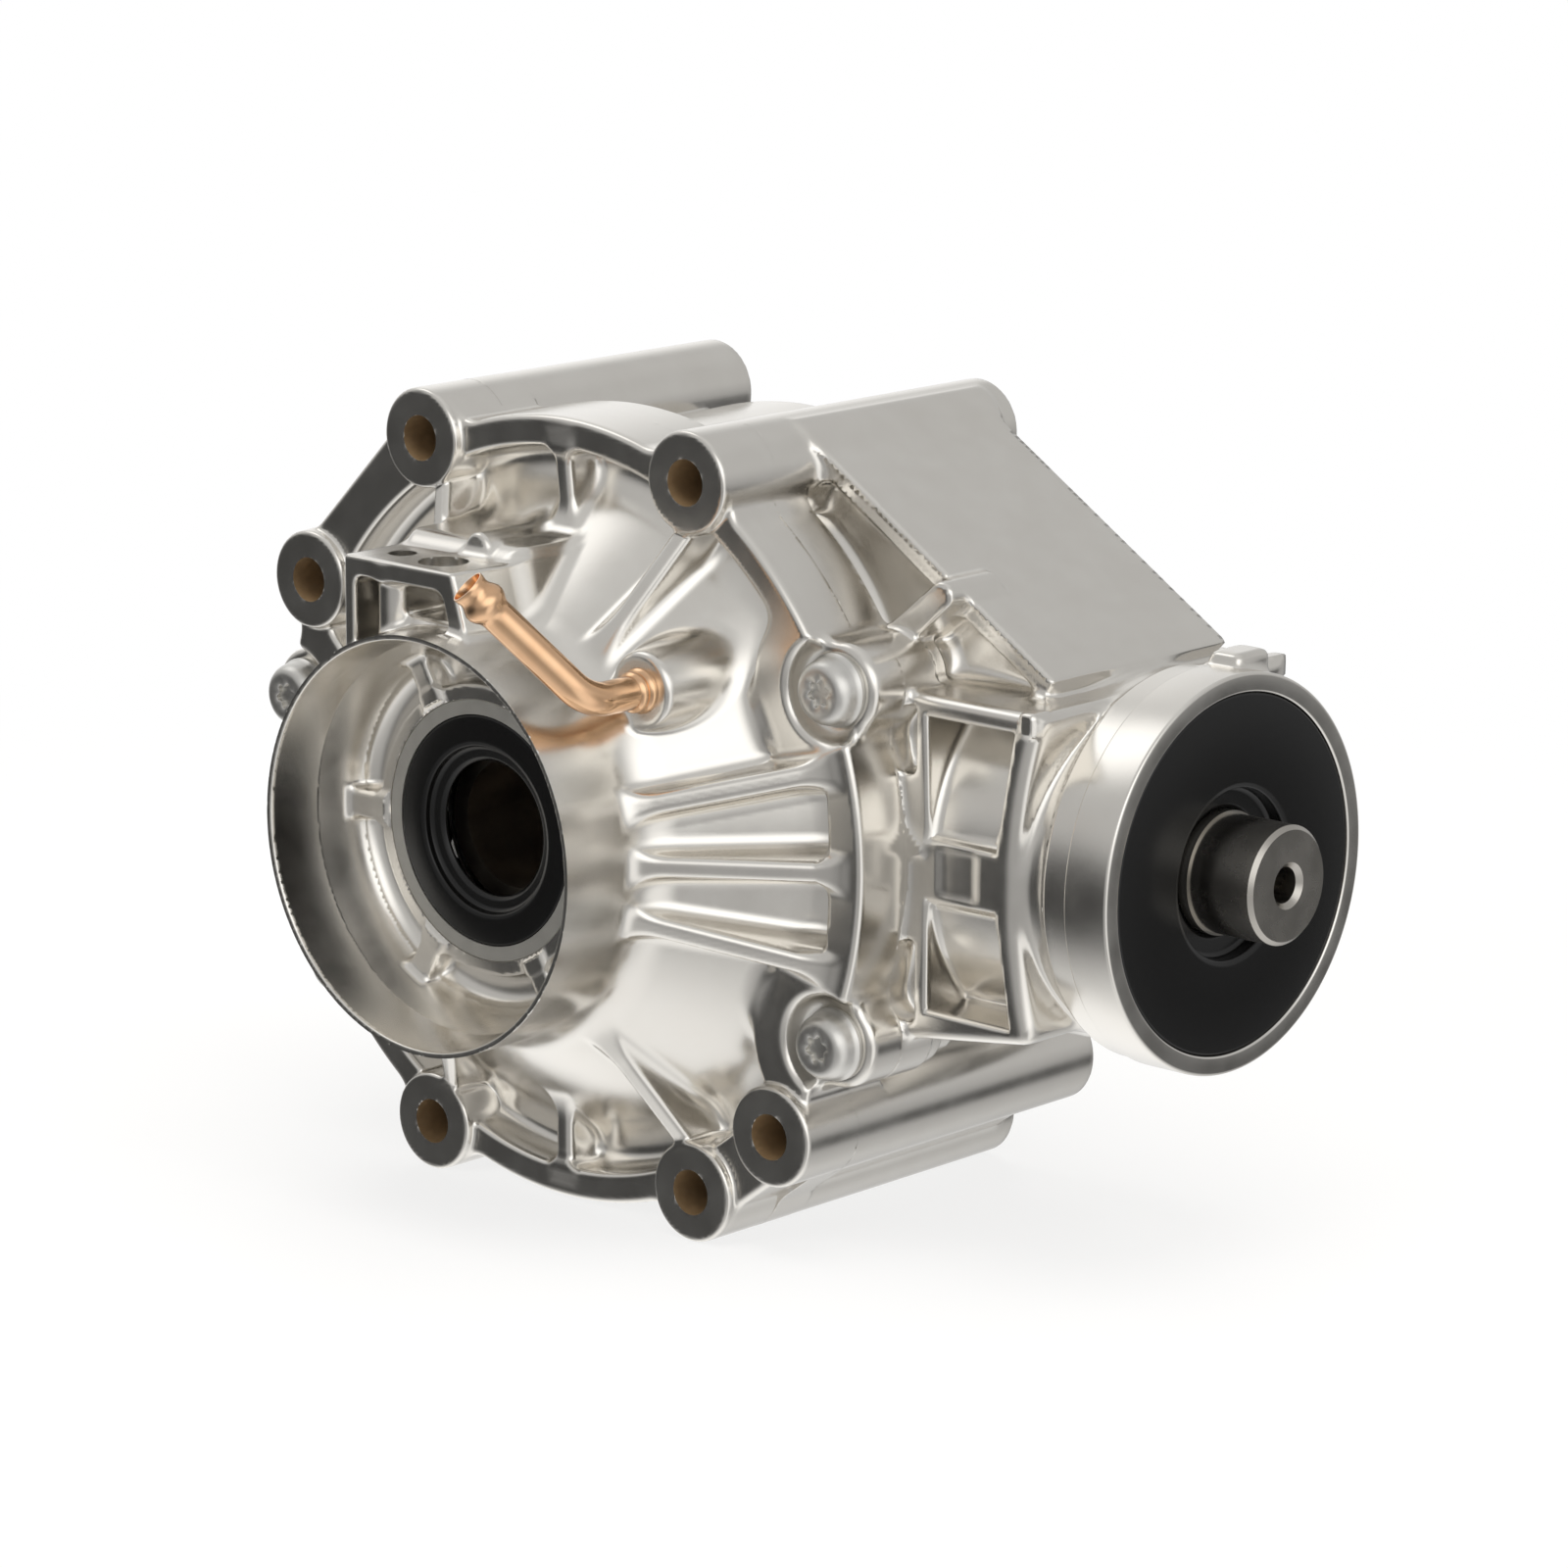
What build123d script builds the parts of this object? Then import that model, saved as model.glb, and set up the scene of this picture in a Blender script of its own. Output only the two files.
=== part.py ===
"""Final drive unit: a bevel gear set and differential in a two-piece cast case.

Frame: X runs along the output (differential) axis, with the output collar at low X.
Y runs along the pinion axis, with the pinion nose at low Y. Z is up.
The two axes cross at the origin. All sizes are millimetres and degrees.
"""
import os
from math import atan2, cos, degrees, hypot, log, pi, radians, sin, sqrt, tan

from build123d import *

# Through bolts that hold the unit: centres (y, z) of six bosses round the output axis
UPPER_BOLT_Z = 85.4
LOWER_BOLT_Z = -84.6
BOLTS = ((84.0, 45.4), (44.4, UPPER_BOLT_Z), (-42.9, UPPER_BOLT_Z),
         (-70.0, -65.9), (-44.9, LOWER_BOLT_Z), (42.3, LOWER_BOLT_Z))
BOLT_PAIRS = ((BOLTS[0], BOLTS[1]), (BOLTS[3], BOLTS[4]))
DOWEL_BOLTS = (BOLTS[1], BOLTS[4])
BOLT_HOLE_R = 5.5
BOSS_R = 12.15
BOSS_FRONT_X = -64.7
BOSS_BACK_X = 40.0

# Cover flange
PARTING_X = -47.0
BOSS_PROUD = 2.5
FLANGE_R = 95.5
FLANGE_LAND = 7.6
FLANGE_BLEND = 5.0
WEB_IN = 3.2
FLANGE_FACE_X = BOSS_FRONT_X + BOSS_PROUD

# Cover dome, its trough and ribs
DOME_ROOT_X = -84.0
DOME_SLOPE = 0.96
DOME_WALL = 7.0
DOME_FLOOR_X = -76.0
CAVITY_R = 78.0
TROUGH_DEPTH = 9.5
RIB_WIDTH = 5.0
RIB_ROUND = 0.28
RIB_ANGLES = (180.0, 164.5, -164.5)
LONG_RIB_BOLTS = (BOLTS[1], BOLTS[2], BOLTS[4], BOLTS[5])
MIDDLE_RIB_ANGLES = (90.0, -90.0)

# Collar and the bell inside it
COLLAR_R = 50.0
COLLAR_FRONT_X = -111.0
COLLAR_LIP_R = 48.74
BELL_FLOOR_X = -83.0
BELL_WALL_R = 43.5
BELL_RIB_COUNT = 6
BELL_RIB_WIDTH = 4.5
SEAL_BOSS_R = 35.0
BEARING_BOSS_R = 41.0
SHOULDER_R = 27.0

# Sealing cord in its groove in the parting face, inside the screws
SEAL_CORD = 3.0
GROOVE_R = 83.5

# Cover screws, M8 with a round flange head; a land of metal keeps their holes clear of the groove
SCREW_R = 4.0
SCREW_LAND = 5.2
SCREW_RING_R = GROOVE_R + SEAL_CORD / 2 + SCREW_LAND + SCREW_R
SCREW_ANGLES = (153.6, -153.6, 9.0, -33.0)
SCREW_CLEARANCE = 0.4
THREAD_CLEARANCE = 0.05
SCREW_HEAD_R = 8.6
SCREW_HEAD_TOP_R = 6.0
SCREW_HEAD_H = 7.2
SCREW_LENGTH = 30.0
SCREW_BOSS_END_X = -24.0
SOCKET_R = 2.4
EAR_R = 10.9
EAR_POCKET_R = 11.8
EAR_FACE_X = -57.5
EAR_SECTOR = 14.0

# Main housing
BARREL_R = 88.0
BARREL_WALL = 8.0
BARREL_BACK_X = 22.0
HOUSING_FLANGE_T = 11.0
REAR_CONE_X = 41.0
REAR_HUB_R = 45.0
REAR_HUB_X = 63.0
REAR_RIB_COUNT = 8
FIN_T = 9.0

# Pinion neck and the frame round it
NOSE_R = 47.0
NOSE_FRONT_Y = -155.2
NOSE_BACK_Y = -136.0
NOSE_STEP = 12.5
NECK_R = 43.5
NECK_LAND_R = 28.0
NUT_ROOM_R = 32.0
PINION_ROOM_Y = -43.0
SIDE_FACE_X = 46.0
SIDE_HALF_Z = 41.0
SIDE_FRONT_Y = -131.0
SIDE_BACK_Y = -80.0
PAD_HALF_Z = 7.5
WEB_T = 5.0
POCKET_FLOOR_X = 20.0
POCKET_FRONT_Y = -127.0
POCKET_BACK_Y = -101.0

# Inclined plate between a bolt boss and the nose
PLATE_X0 = -31.0
PLATE_X1 = 31.5
PLATE_TOP_Y = -53.5
PLATE_TOP_Z = 91.0
PLATE_END_Y = -125.4
PLATE_END_Z = 45.4
PLATE_T = 6.0
WALL_SET = 6.0

# Drive bevel gears: teeth sections turned along the face for the spiral
RING_TEETH = 40
PINION_TEETH = 13
GEAR_MODULE = 3.5
GEAR_FACE = 21.0
SPIRAL_ANGLE = 30.0
GEAR_BACKLASH = 0.5
PRESSURE_ANGLE = 20.0
GEAR_SHIFT = 0.3
RING_ADDENDUM = 0.75 * GEAR_MODULE
RING_DEDENDUM = 1.4 * GEAR_MODULE
PINION_ADDENDUM = 1.2 * GEAR_MODULE
PINION_DEDENDUM = 0.95 * GEAR_MODULE
ROOT_SINK = 0.5
RING_BACK_Z = 40.0
PINION_COLLAR_R = 24.5

# Ring gear bolts
RING_BOLT_COUNT = 10
RING_BOLT_R = 55.0
RING_BOLT_SHANK_R = 4.5
RING_BOLT_HEX = 8.0
RING_BOLT_HEAD = 5.5
RING_BOLT_GRIP = 9.0

# Differential gears
SIDE_TEETH = 16
PLANET_TEETH = 10
DIFF_MODULE = 3.0
DIFF_FACE = 9.5
DIFF_BACKLASH = 0.5
DIFF_ADDENDUM = 0.9 * DIFF_MODULE
DIFF_DEDENDUM = 1.15 * DIFF_MODULE
DIFF_CENTRE_X = -16.0
SPLINE_R = 12.5
SIDE_BACK_Z = 24.0
SIDE_HUB_R = 17.0
SIDE_HUB_L = 9.0
SIDE_WASHER_R = 25.0
WASHER_T = 1.0
PLANET_BACK_Z = 30.0
PLANET_HUB_R = 12.0
PLANET_GAP = 0.4
PIN_R = 7.0
LOCK_R = 2.5
LOCK_X0 = -45.0
LOCK_X1 = 2.0
LOCK_Z = 35.5

# Differential case
FLANGE_BACK_X = -50.0
CASE_FLANGE_R = 66.0
CASE_PILOT = 8.0
CASE_R = 40.0
RING_SEAT = 2.0
RING_BORE_R = CASE_R + RING_SEAT
CASE_END_X = 21.0
FRONT_HUB_END_X = -78.0
REAR_HUB_END_X = 54.0
SIDE_ROOM_R = 26.0
CASE_ROOM_R = 31.0
OUTPUT_BORE_R = 15.5
WINDOW_X = 34.0
WINDOW_Z = 38.0

# Tapered roller bearings: bore radius, outer radius, total width, cup width, roller count
DIFF_BEARING = (20.0, 34.0, 19.0, 14.5, 15)
HEAD_BEARING = (17.5, 36.0, 24.0, 18.5, 13)
TAIL_BEARING = (15.0, 31.0, 20.0, 15.5, 12)
ROLLER_TILT = 11.0
ROLLER_TAPER = 2.0
ROLLER_GAP = 0.3
CONE_RIB = 1.4
CONE_LIP = 0.9
BAND = 1.3
WINDOW_GAP = 0.25
CAGE_RIM = 1.9
BEARING_LAND = 0.5
SHIM_T = 0.8
FRONT_BEARING_X = -57.0
REAR_BEARING_X = 33.0
HEAD_BEARING_Y = -78.0
TAIL_BEARING_Y = -138.0

# Shaft seals and the cover's sealing ring
OUTPUT_SEAL_R = 31.5
OUTPUT_RING_R = 27.8
OUTPUT_OPEN_R = 20.0
OUTPUT_LIP_R = 16.2
OUTPUT_SEAL_T = 8.0
FRONT_SEAL_X = -88.0
PINION_SEAL_R = 42.35
PINION_SEAL_OPEN_R = 20.0
PINION_SEAL_T = 9.0
SEAL_RECESS = 0.35
SEAL_RUN = 0.05

# Pinion shaft, its crush sleeve and nut
SHAFT_R = 14.0
JOURNAL_R = 14.6
JOURNAL_END_Y = -152.5
SHAFT_END_Y = -170.4
SHAFT_CHAMFER = 1.0
SHAFT_STEP = 2.0
CENTRE_HOLE_R = 4.25
CENTRE_HOLE_DEPTH = 24.0
SLEEVE_WALL = 4.0
SLEEVE_BELLY = 2.5
NUT_T = 7.0
NUT_COLLAR = 2.0
NUT_COLLAR_R = 22.5
NUT_HEX = 21.5

# Filler and drain plugs
PLUG_RING_R = 66.0
FILL_ANGLE = 0.0
DRAIN_ANGLE = -90.0
PLUG_FACE_X = 41.0
PLUG_BOSS_R = 15.0
PLUG_R = 9.0
PLUG_L = 12.0
PLUG_HEAD_R = 12.5
PLUG_HEAD_H = 7.0
PLUG_HEX = 5.5
PLUG_WASHER_T = 1.5

# Hollow dowels round two of the through bolts
DOWEL_R = 7.5
DOWEL_L = 12.0

# Breather
BREATHER_Y = -45.0
BREATHER_Z = 39.5
BREATHER_FACE_X = -82.0
BREATHER_BOSS_R = 9.0
TUBE_R = 4.0
TUBE_WALL = 1.0
TUBE_BEND_X = -99.0
TUBE_END = (-121.0, -28.5, 67.2)
TUBE_BEND_R = 11.0
BARB_R = 5.3

# Bracket lug on the collar; each hole is x, y, radius
LUG_X0 = -103.0
LUG_X1 = -82.0
LUG_Y0 = -5.0
LUG_Y1 = 31.0
LUG_TOP_Z = 64.3
LUG_PLATE_T = 6.0
LUG_WALL = 4.0
LUG_HOLES = ((-92.8, 21.5, 3.4), (-93.4, 7.3, 6.0))

# Fits: clearance of a running pair, and of a pair that stays still
RUN_FIT = 0.05
FIT = 0.02


def outline_x(*points):
    """Solid turned about the output axis from an outline of (x, radius) points."""
    return revolve(make_face(Polyline(*points, close=True)), Axis.X)


def outline_y(*points):
    """Solid turned about the pinion axis from an outline of (radius, y) points."""
    return revolve(make_face(Polyline(*points, close=True)), Axis.Y)


def turned(*points):
    """Solid turned about the local Z axis from an outline of (radius, z) points."""
    return revolve(make_face(Polyline(*[(r, 0, z) for r, z in points], close=True)), Axis.Z)


def bearing_of(point):
    """Angle from +Y round the output axis at which a (y, z) point lies."""
    return degrees(atan2(point[1], point[0]))


def polar(radius, angle):
    """Point (y, z) at a radius and an angle from +Y round the output axis."""
    return radius * cos(radians(angle)), radius * sin(radians(angle))


def rod_x(x0, x1, radius, y=0.0, z=0.0):
    """Cylinder along X between two stations."""
    face = Plane(origin=(x0, y, z), x_dir=(0, 1, 0), z_dir=(1, 0, 0)) * Circle(radius)
    return extrude(face, x1 - x0)


def slab_x(sketch, x0, x1):
    """Sketch drawn in (y, z), extruded along X between two stations."""
    return extrude(Plane(origin=(x0, 0, 0), x_dir=(0, 1, 0), z_dir=(1, 0, 0)) * sketch, x1 - x0)


def block(x0, x1, y0, y1, z0, z1):
    """Box given by its lowest and highest corners."""
    centre = ((x0 + x1) / 2, (y0 + y1) / 2, (z0 + z1) / 2)
    return Pos(*centre) * Box(x1 - x0, y1 - y0, z1 - z0)


def dome_r(x):
    """Outer radius of the cover's dome at a station."""
    return COLLAR_R + DOME_SLOPE * (x - DOME_ROOT_X)


def dome_x(radius):
    """Station at which the dome has a radius."""
    return DOME_ROOT_X + (radius - COLLAR_R) / DOME_SLOPE


def tooth_outline(teeth, cone, module, addendum, dedendum, shift, backlash):
    """Half outline of one tooth, as (sideways, height over the pitch cone), root to tip.

    The flank is an involute of the equivalent spur gear, whose pitch radius is the
    bevel gear's divided by the cosine of its cone angle.
    """
    pressure = radians(PRESSURE_ANGLE)
    pitch = module * teeth / 2 / cos(cone)
    base = pitch * cos(pressure)
    thick = module * (pi / 2 + 2 * shift * tan(pressure)) - backlash / 2
    half_angle = thick / 2 / pitch + tan(pressure) - pressure
    points = []
    heights = (-dedendum - ROOT_SINK, -0.55 * dedendum, 0.0, 0.55 * addendum, addendum)
    for height in heights:
        radius = pitch + height
        turn = sqrt(max((radius / base) ** 2 - 1, 0.0))
        angle = half_angle - (turn - atan2(turn, 1))
        points.append((radius * sin(angle), radius * cos(angle) - pitch))
    return points


def tooth_section(half, cone, distance, full_distance, turn):
    """Tooth outline as a flat face at one distance from the cone's tip."""
    scale = distance / full_distance
    outline = [(-side, height) for side, height in half]
    outline += [(side, height) for side, height in reversed(half)]
    corners = []
    for side, height in outline:
        radius = full_distance * sin(cone) + height * cos(cone)
        z = full_distance * cos(cone) - height * sin(cone)
        corners.append((radius * scale, side * scale, z * scale))
    return Rot(0, 0, turn) * make_face(Polyline(*corners, close=True))


def bevel_teeth(teeth, mate, module, face, addendum, dedendum, shift, backlash,
                spiral=0.0, hand=1, phase=0.0, steps=1):
    """All teeth of a bevel gear, with its axis on Z and the tip of its cone at the origin."""
    cone = atan2(teeth, mate)
    full = module * teeth / 2 / sin(cone)
    middle = full - face / 2
    half = tooth_outline(teeth, cone, module, addendum, dedendum, shift, backlash)
    sections = []
    for step in range(steps + 1):
        distance = full - face * step / steps
        turn = hand * degrees(tan(radians(spiral)) / sin(cone) * log(distance / middle))
        sections.append(tooth_section(half, cone, distance, full, turn + phase))
    tooth = loft(sections, ruled=True)
    return [Rot(0, 0, 360 * index / teeth) * tooth for index in range(teeth)]


def root_points(teeth, mate, module, face, dedendum):
    """Inner and outer (radius, z) points of a bevel gear's root cone."""
    cone = atan2(teeth, mate)
    full = module * teeth / 2 / sin(cone)
    radius = full * sin(cone) - dedendum * cos(cone)
    z = full * cos(cone) + dedendum * sin(cone)
    scale = (full - face) / full
    return (radius * scale, z * scale), (radius, z)


def at_line(first, second, z):
    """Radius at z on the line through two (z, radius) points."""
    share = (z - first[0]) / (second[0] - first[0])
    return first[1] + share * (second[1] - first[1])


def tapered_bearing(bore, outer, width, cup_width, count):
    """Cup, cone, rollers and cage, with the cone's back face at z = 0 and the cup's at z = width."""
    tilt, taper = radians(ROLLER_TILT), radians(ROLLER_TAPER)
    mid_r = (bore + outer) / 2
    mid_z = width / 2
    roller_r = 0.235 * (outer - bore)
    length = 0.6 * width
    along = (cos(tilt), -sin(tilt))
    out = (sin(tilt), cos(tilt))
    ends = []
    for sign in (-1, 1):
        centre = (mid_z + sign * length / 2 * along[0], mid_r + sign * length / 2 * along[1])
        ends.append((centre, roller_r - sign * length / 2 * tan(taper)))

    def race(side):
        return [(c[0] + side * (r + ROLLER_GAP) * out[0], c[1] + side * (r + ROLLER_GAP) * out[1])
                for c, r in ends]

    cup_race, cone_race = race(1), race(-1)
    cup_z = width - cup_width
    cup = turned((outer, cup_z), (outer, width), (at_line(*cup_race, width), width),
                 (at_line(*cup_race, cup_z), cup_z))
    rib_z = ends[0][0][0] - ends[0][1] * sin(tilt) - ROLLER_GAP
    lip_z = ends[1][0][0] + ends[1][1] * sin(tilt) + ROLLER_GAP
    large, small = at_line(*cone_race, rib_z), at_line(*cone_race, lip_z)
    cone = turned((bore, 0), (large + CONE_RIB, 0), (large + CONE_RIB, rib_z), (large, rib_z),
                  (small, lip_z), (small + CONE_LIP, lip_z), (small + CONE_LIP, width), (bore, width))
    place = Pos(mid_r, 0, mid_z) * Rot(0, -degrees(tilt), 0)
    big, little = ends[0][1], ends[1][1]
    roller = place * Cone(big, little, length)
    window = place * Box(BAND * 4, 2 * big + 2 * WINDOW_GAP, length + 2 * WINDOW_GAP)
    reach = length / 2 + CAGE_RIM
    corners = []
    for end, side in ((-1, -1), (-1, 1), (1, 1), (1, -1)):
        corners.append((mid_r + end * reach * along[1] + side * BAND / 2 * out[1],
                        mid_z + end * reach * along[0] + side * BAND / 2 * out[0]))
    turns = [Rot(0, 0, 360 * index / count) for index in range(count)]
    cage = turned(*corners) - [turn * window for turn in turns]
    return cup, cone, [turn * roller for turn in turns], cage


def flange_outline():
    """Shared outline of cover and housing flange, as a sketch in (y, z)."""
    shape = Circle(FLANGE_R)
    for centre in BOLTS:
        shape += Pos(*centre) * Circle(BOSS_R)
    for angle in SCREW_ANGLES:
        shape += Pos(*polar(SCREW_RING_R, angle)) * Circle(EAR_R)
    for a, b in BOLT_PAIRS:
        out = polar(BOSS_R - WEB_IN, (bearing_of(a) + bearing_of(b)) / 2)
        shape += make_face(Polyline(a, b, (b[0] + out[0], b[1] + out[1]),
                                    (a[0] + out[0], a[1] + out[1]), close=True))
    grown = offset(shape, amount=FLANGE_BLEND)
    return offset(grown, amount=-FLANGE_BLEND)


def sector(low, high, inner, outer, x0, x1):
    """Part of a ring round the output axis between two angles."""
    reach = 2 * outer
    wedge = make_face(Polyline((0, 0), polar(reach, low), polar(reach, high), close=True))
    ring = Circle(outer) - Circle(inner)
    return slab_x(ring & wedge, x0, x1)


def radial_rib(angle, width, *points):
    """Rib in a plane through the output axis, from an outline of (x, radius) points."""
    face = make_face(Polyline(*points, close=True))
    rib = extrude(face, width / 2, both=True)
    crest = [edge for edge in rib.edges().filter_by(GeomType.LINE)
             if abs(edge.center().Z) > width / 2 - 0.01 and edge.center().Y > points[0][1]]
    rib = fillet(crest, width * RIB_ROUND)
    return Rot(angle, 0, 0) * rib


def bolt_holes(x0, x1):
    """The six through-bolt bores."""
    return [rod_x(x0, x1, BOLT_HOLE_R, *centre) for centre in BOLTS]


def cover_inside():
    """Everything turned out of the cover: bell, seal bore, bearing seat and dome."""
    wall = DOME_WALL / cos(atan2(DOME_SLOPE, 1))
    seal_floor = FRONT_SEAL_X + OUTPUT_SEAL_T
    seat_floor = FRONT_BEARING_X - DIFF_BEARING[2] - SHIM_T
    seat_end = FRONT_BEARING_X + BEARING_LAND
    return outline_x(
        (PARTING_X + 1, 0), (PARTING_X + 1, CAVITY_R), (PARTING_X, CAVITY_R),
        (PARTING_X - 5, dome_r(PARTING_X - 5) - wall), (DOME_FLOOR_X, dome_r(DOME_FLOOR_X) - wall),
        (DOME_FLOOR_X, BEARING_BOSS_R + 1), (seat_end, BEARING_BOSS_R),
        (seat_end, DIFF_BEARING[1]), (seat_floor, DIFF_BEARING[1]), (seat_floor, SHOULDER_R),
        (seal_floor, SHOULDER_R), (seal_floor, OUTPUT_SEAL_R), (FRONT_SEAL_X, OUTPUT_SEAL_R),
        (FRONT_SEAL_X, SEAL_BOSS_R), (FRONT_SEAL_X + 1.5, SEAL_BOSS_R + 1.5),
        (BELL_FLOOR_X, SEAL_BOSS_R + 3), (BELL_FLOOR_X, SEAL_BOSS_R + 5),
        (BELL_FLOOR_X - 3, BELL_WALL_R), (COLLAR_FRONT_X + 14, BELL_WALL_R + 3.5),
        (COLLAR_FRONT_X, COLLAR_LIP_R), (COLLAR_FRONT_X - 1, COLLAR_LIP_R), (COLLAR_FRONT_X - 1, 0))


def lug():
    """Bracket lug on top of the collar, hollow below its drilled plate."""
    low = COLLAR_R - 6
    body = block(LUG_X0, LUG_X1 + 8, LUG_Y0, LUG_Y1, low - 14, LUG_TOP_Z)
    step = block(LUG_X1, dome_x(78), LUG_Y0 + 2, LUG_Y1 - 2, low - 14, LUG_TOP_Z + 3)
    pocket = block(LUG_X0 - 1, LUG_X1 - 2, LUG_Y0 + LUG_WALL + 1, LUG_Y1 - LUG_WALL, low - 20,
                   LUG_TOP_Z - LUG_PLATE_T)
    shape = body + step - pocket
    for x, y, radius in LUG_HOLES:
        shape -= Pos(x, y, LUG_TOP_Z) * Cylinder(radius, 4 * LUG_PLATE_T)
    return shape


def side_cover():
    """Cast cover with the output collar, the dome and its ribs."""
    trough_x = FLANGE_FACE_X + TROUGH_DEPTH
    dome_end = dome_r(PARTING_X)
    dome = outline_x((COLLAR_FRONT_X, 0), (COLLAR_FRONT_X, COLLAR_R), (DOME_ROOT_X, COLLAR_R),
                     (PARTING_X, dome_end), (PARTING_X, 0))
    plate = slab_x(flange_outline(), FLANGE_FACE_X, PARTING_X)
    ring_in = FLANGE_R - FLANGE_LAND
    trough = outline_x((FLANGE_FACE_X - 8, dome_r(FLANGE_FACE_X - 8)), (trough_x, dome_r(trough_x)),
                       (trough_x, ring_in), (FLANGE_FACE_X - 8, ring_in))
    for angle in SCREW_ANGLES:
        trough -= sector(angle - EAR_SECTOR, angle + EAR_SECTOR, 60, 99, FLANGE_FACE_X, PARTING_X)
    trough -= sector(160, 200, FLANGE_R - 2 * FLANGE_LAND + 4, 99, FLANGE_FACE_X, PARTING_X)
    shape = dome + (plate - trough)
    for angle in RIB_ANGLES:
        shape += radial_rib(angle, RIB_WIDTH, (DOME_ROOT_X - 2, COLLAR_R - 3),
                            (DOME_ROOT_X - 4.5, COLLAR_R + 1), (FLANGE_FACE_X, ring_in + 1),
                            (trough_x, ring_in + 1), (trough_x, dome_r(trough_x) - 3))
    for angle in MIDDLE_RIB_ANGLES + tuple(bearing_of(centre) for centre in LONG_RIB_BOLTS):
        shape += radial_rib(angle, RIB_WIDTH, (dome_x(57), 55), (dome_x(57) - 1, 58),
                            (FLANGE_FACE_X + 1, ring_in + 1), (trough_x + 1, ring_in + 1),
                            (trough_x + 1, dome_r(trough_x) - 3))
    shape += lug()
    root_x = dome_x(hypot(BREATHER_Y, BREATHER_Z)) + 8
    boss = Plane(origin=(BREATHER_FACE_X, BREATHER_Y, BREATHER_Z), x_dir=(0, 1, 0), z_dir=(1, 0, 0))
    shape += boss * Pos(0, 0, (root_x - BREATHER_FACE_X) / 2) * Cone(
        BREATHER_BOSS_R, BREATHER_BOSS_R + 2.5, root_x - BREATHER_FACE_X)
    for centre in BOLTS:
        shape += rod_x(BOSS_FRONT_X, PARTING_X, BOSS_R, *centre)
    for angle in SCREW_ANGLES:
        centre = polar(SCREW_RING_R, angle)
        shape -= rod_x(FLANGE_FACE_X - 1, EAR_FACE_X, EAR_POCKET_R, *centre)
        shape -= rod_x(EAR_FACE_X - 1, PARTING_X + 1, SCREW_R + SCREW_CLEARANCE, *centre)
    shape -= cover_inside()
    ribs = Part()
    for index in range(BELL_RIB_COUNT):
        rib = block(FRONT_SEAL_X - 1.5, BELL_FLOOR_X + 1, SEAL_BOSS_R - 1, BELL_WALL_R + 4,
                    -BELL_RIB_WIDTH / 2, BELL_RIB_WIDTH / 2)
        ribs += Rot(360 * index / BELL_RIB_COUNT, 0, 0) * rib
    shape += ribs
    shape -= rod_x(BREATHER_FACE_X - 1, PARTING_X, TUBE_R, BREATHER_Y, BREATHER_Z)
    shape -= bolt_holes(BOSS_FRONT_X - 1, PARTING_X + 1)
    return shape


def barrel():
    """Main barrel, rear wall and rear bearing hub, solid."""
    return outline_x((PARTING_X, 0), (PARTING_X, BARREL_R), (BARREL_BACK_X, BARREL_R),
                     (BARREL_BACK_X + 8, BARREL_R - 9), (REAR_CONE_X, REAR_HUB_R + 5),
                     (REAR_CONE_X + 4, REAR_HUB_R), (REAR_HUB_X, REAR_HUB_R), (REAR_HUB_X, 0))


def barrel_inside():
    """Gear chamber, rear bearing seat and rear seal bore."""
    inner = BARREL_R - BARREL_WALL
    seat_floor = REAR_BEARING_X + DIFF_BEARING[2] + SHIM_T
    seal_floor = REAR_HUB_X - OUTPUT_SEAL_T
    return outline_x((PARTING_X - 1, 0), (PARTING_X - 1, inner), (BARREL_BACK_X - 12, inner),
                     (BARREL_BACK_X, inner - 12), (REAR_BEARING_X - 4, REAR_HUB_R - 1),
                     (REAR_BEARING_X, DIFF_BEARING[1] + 4), (REAR_BEARING_X, DIFF_BEARING[1]),
                     (seat_floor, DIFF_BEARING[1]), (seat_floor, SHOULDER_R), (seal_floor, SHOULDER_R),
                     (seal_floor, OUTPUT_SEAL_R), (REAR_HUB_X + 1, OUTPUT_SEAL_R), (REAR_HUB_X + 1, 0))


def neck_inside():
    """Bores of the pinion neck, from the gear chamber out to the seal pocket."""
    head, tail = HEAD_BEARING, TAIL_BEARING
    head_floor = HEAD_BEARING_Y - head[2] - SHIM_T
    tail_floor = TAIL_BEARING_Y + tail[2]
    pocket = NOSE_FRONT_Y + SEAL_RECESS + PINION_SEAL_T
    return outline_y((0, PINION_ROOM_Y), (head[1], PINION_ROOM_Y), (head[1], head_floor),
                     (NECK_LAND_R, head_floor), (NECK_LAND_R, tail_floor), (tail[1], tail_floor),
                     (tail[1], TAIL_BEARING_Y), (NUT_ROOM_R, TAIL_BEARING_Y), (NUT_ROOM_R, pocket),
                     (PINION_SEAL_R, pocket), (PINION_SEAL_R, NOSE_FRONT_Y - 1), (0, NOSE_FRONT_Y - 1))


def neck_outside():
    """Round neck with the wider nose ring at its end."""
    return outline_y((0, 0), (NECK_R + 2, 0), (NECK_R, SIDE_FRONT_Y), (NECK_R, NOSE_BACK_Y + 3),
                     (NOSE_R - 0.8, NOSE_BACK_Y), (NOSE_R - 0.8, NOSE_FRONT_Y + NOSE_STEP),
                     (NOSE_R, NOSE_FRONT_Y + NOSE_STEP), (NOSE_R, NOSE_FRONT_Y + 0.6),
                     (NOSE_R - 0.6, NOSE_FRONT_Y), (0, NOSE_FRONT_Y))


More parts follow.
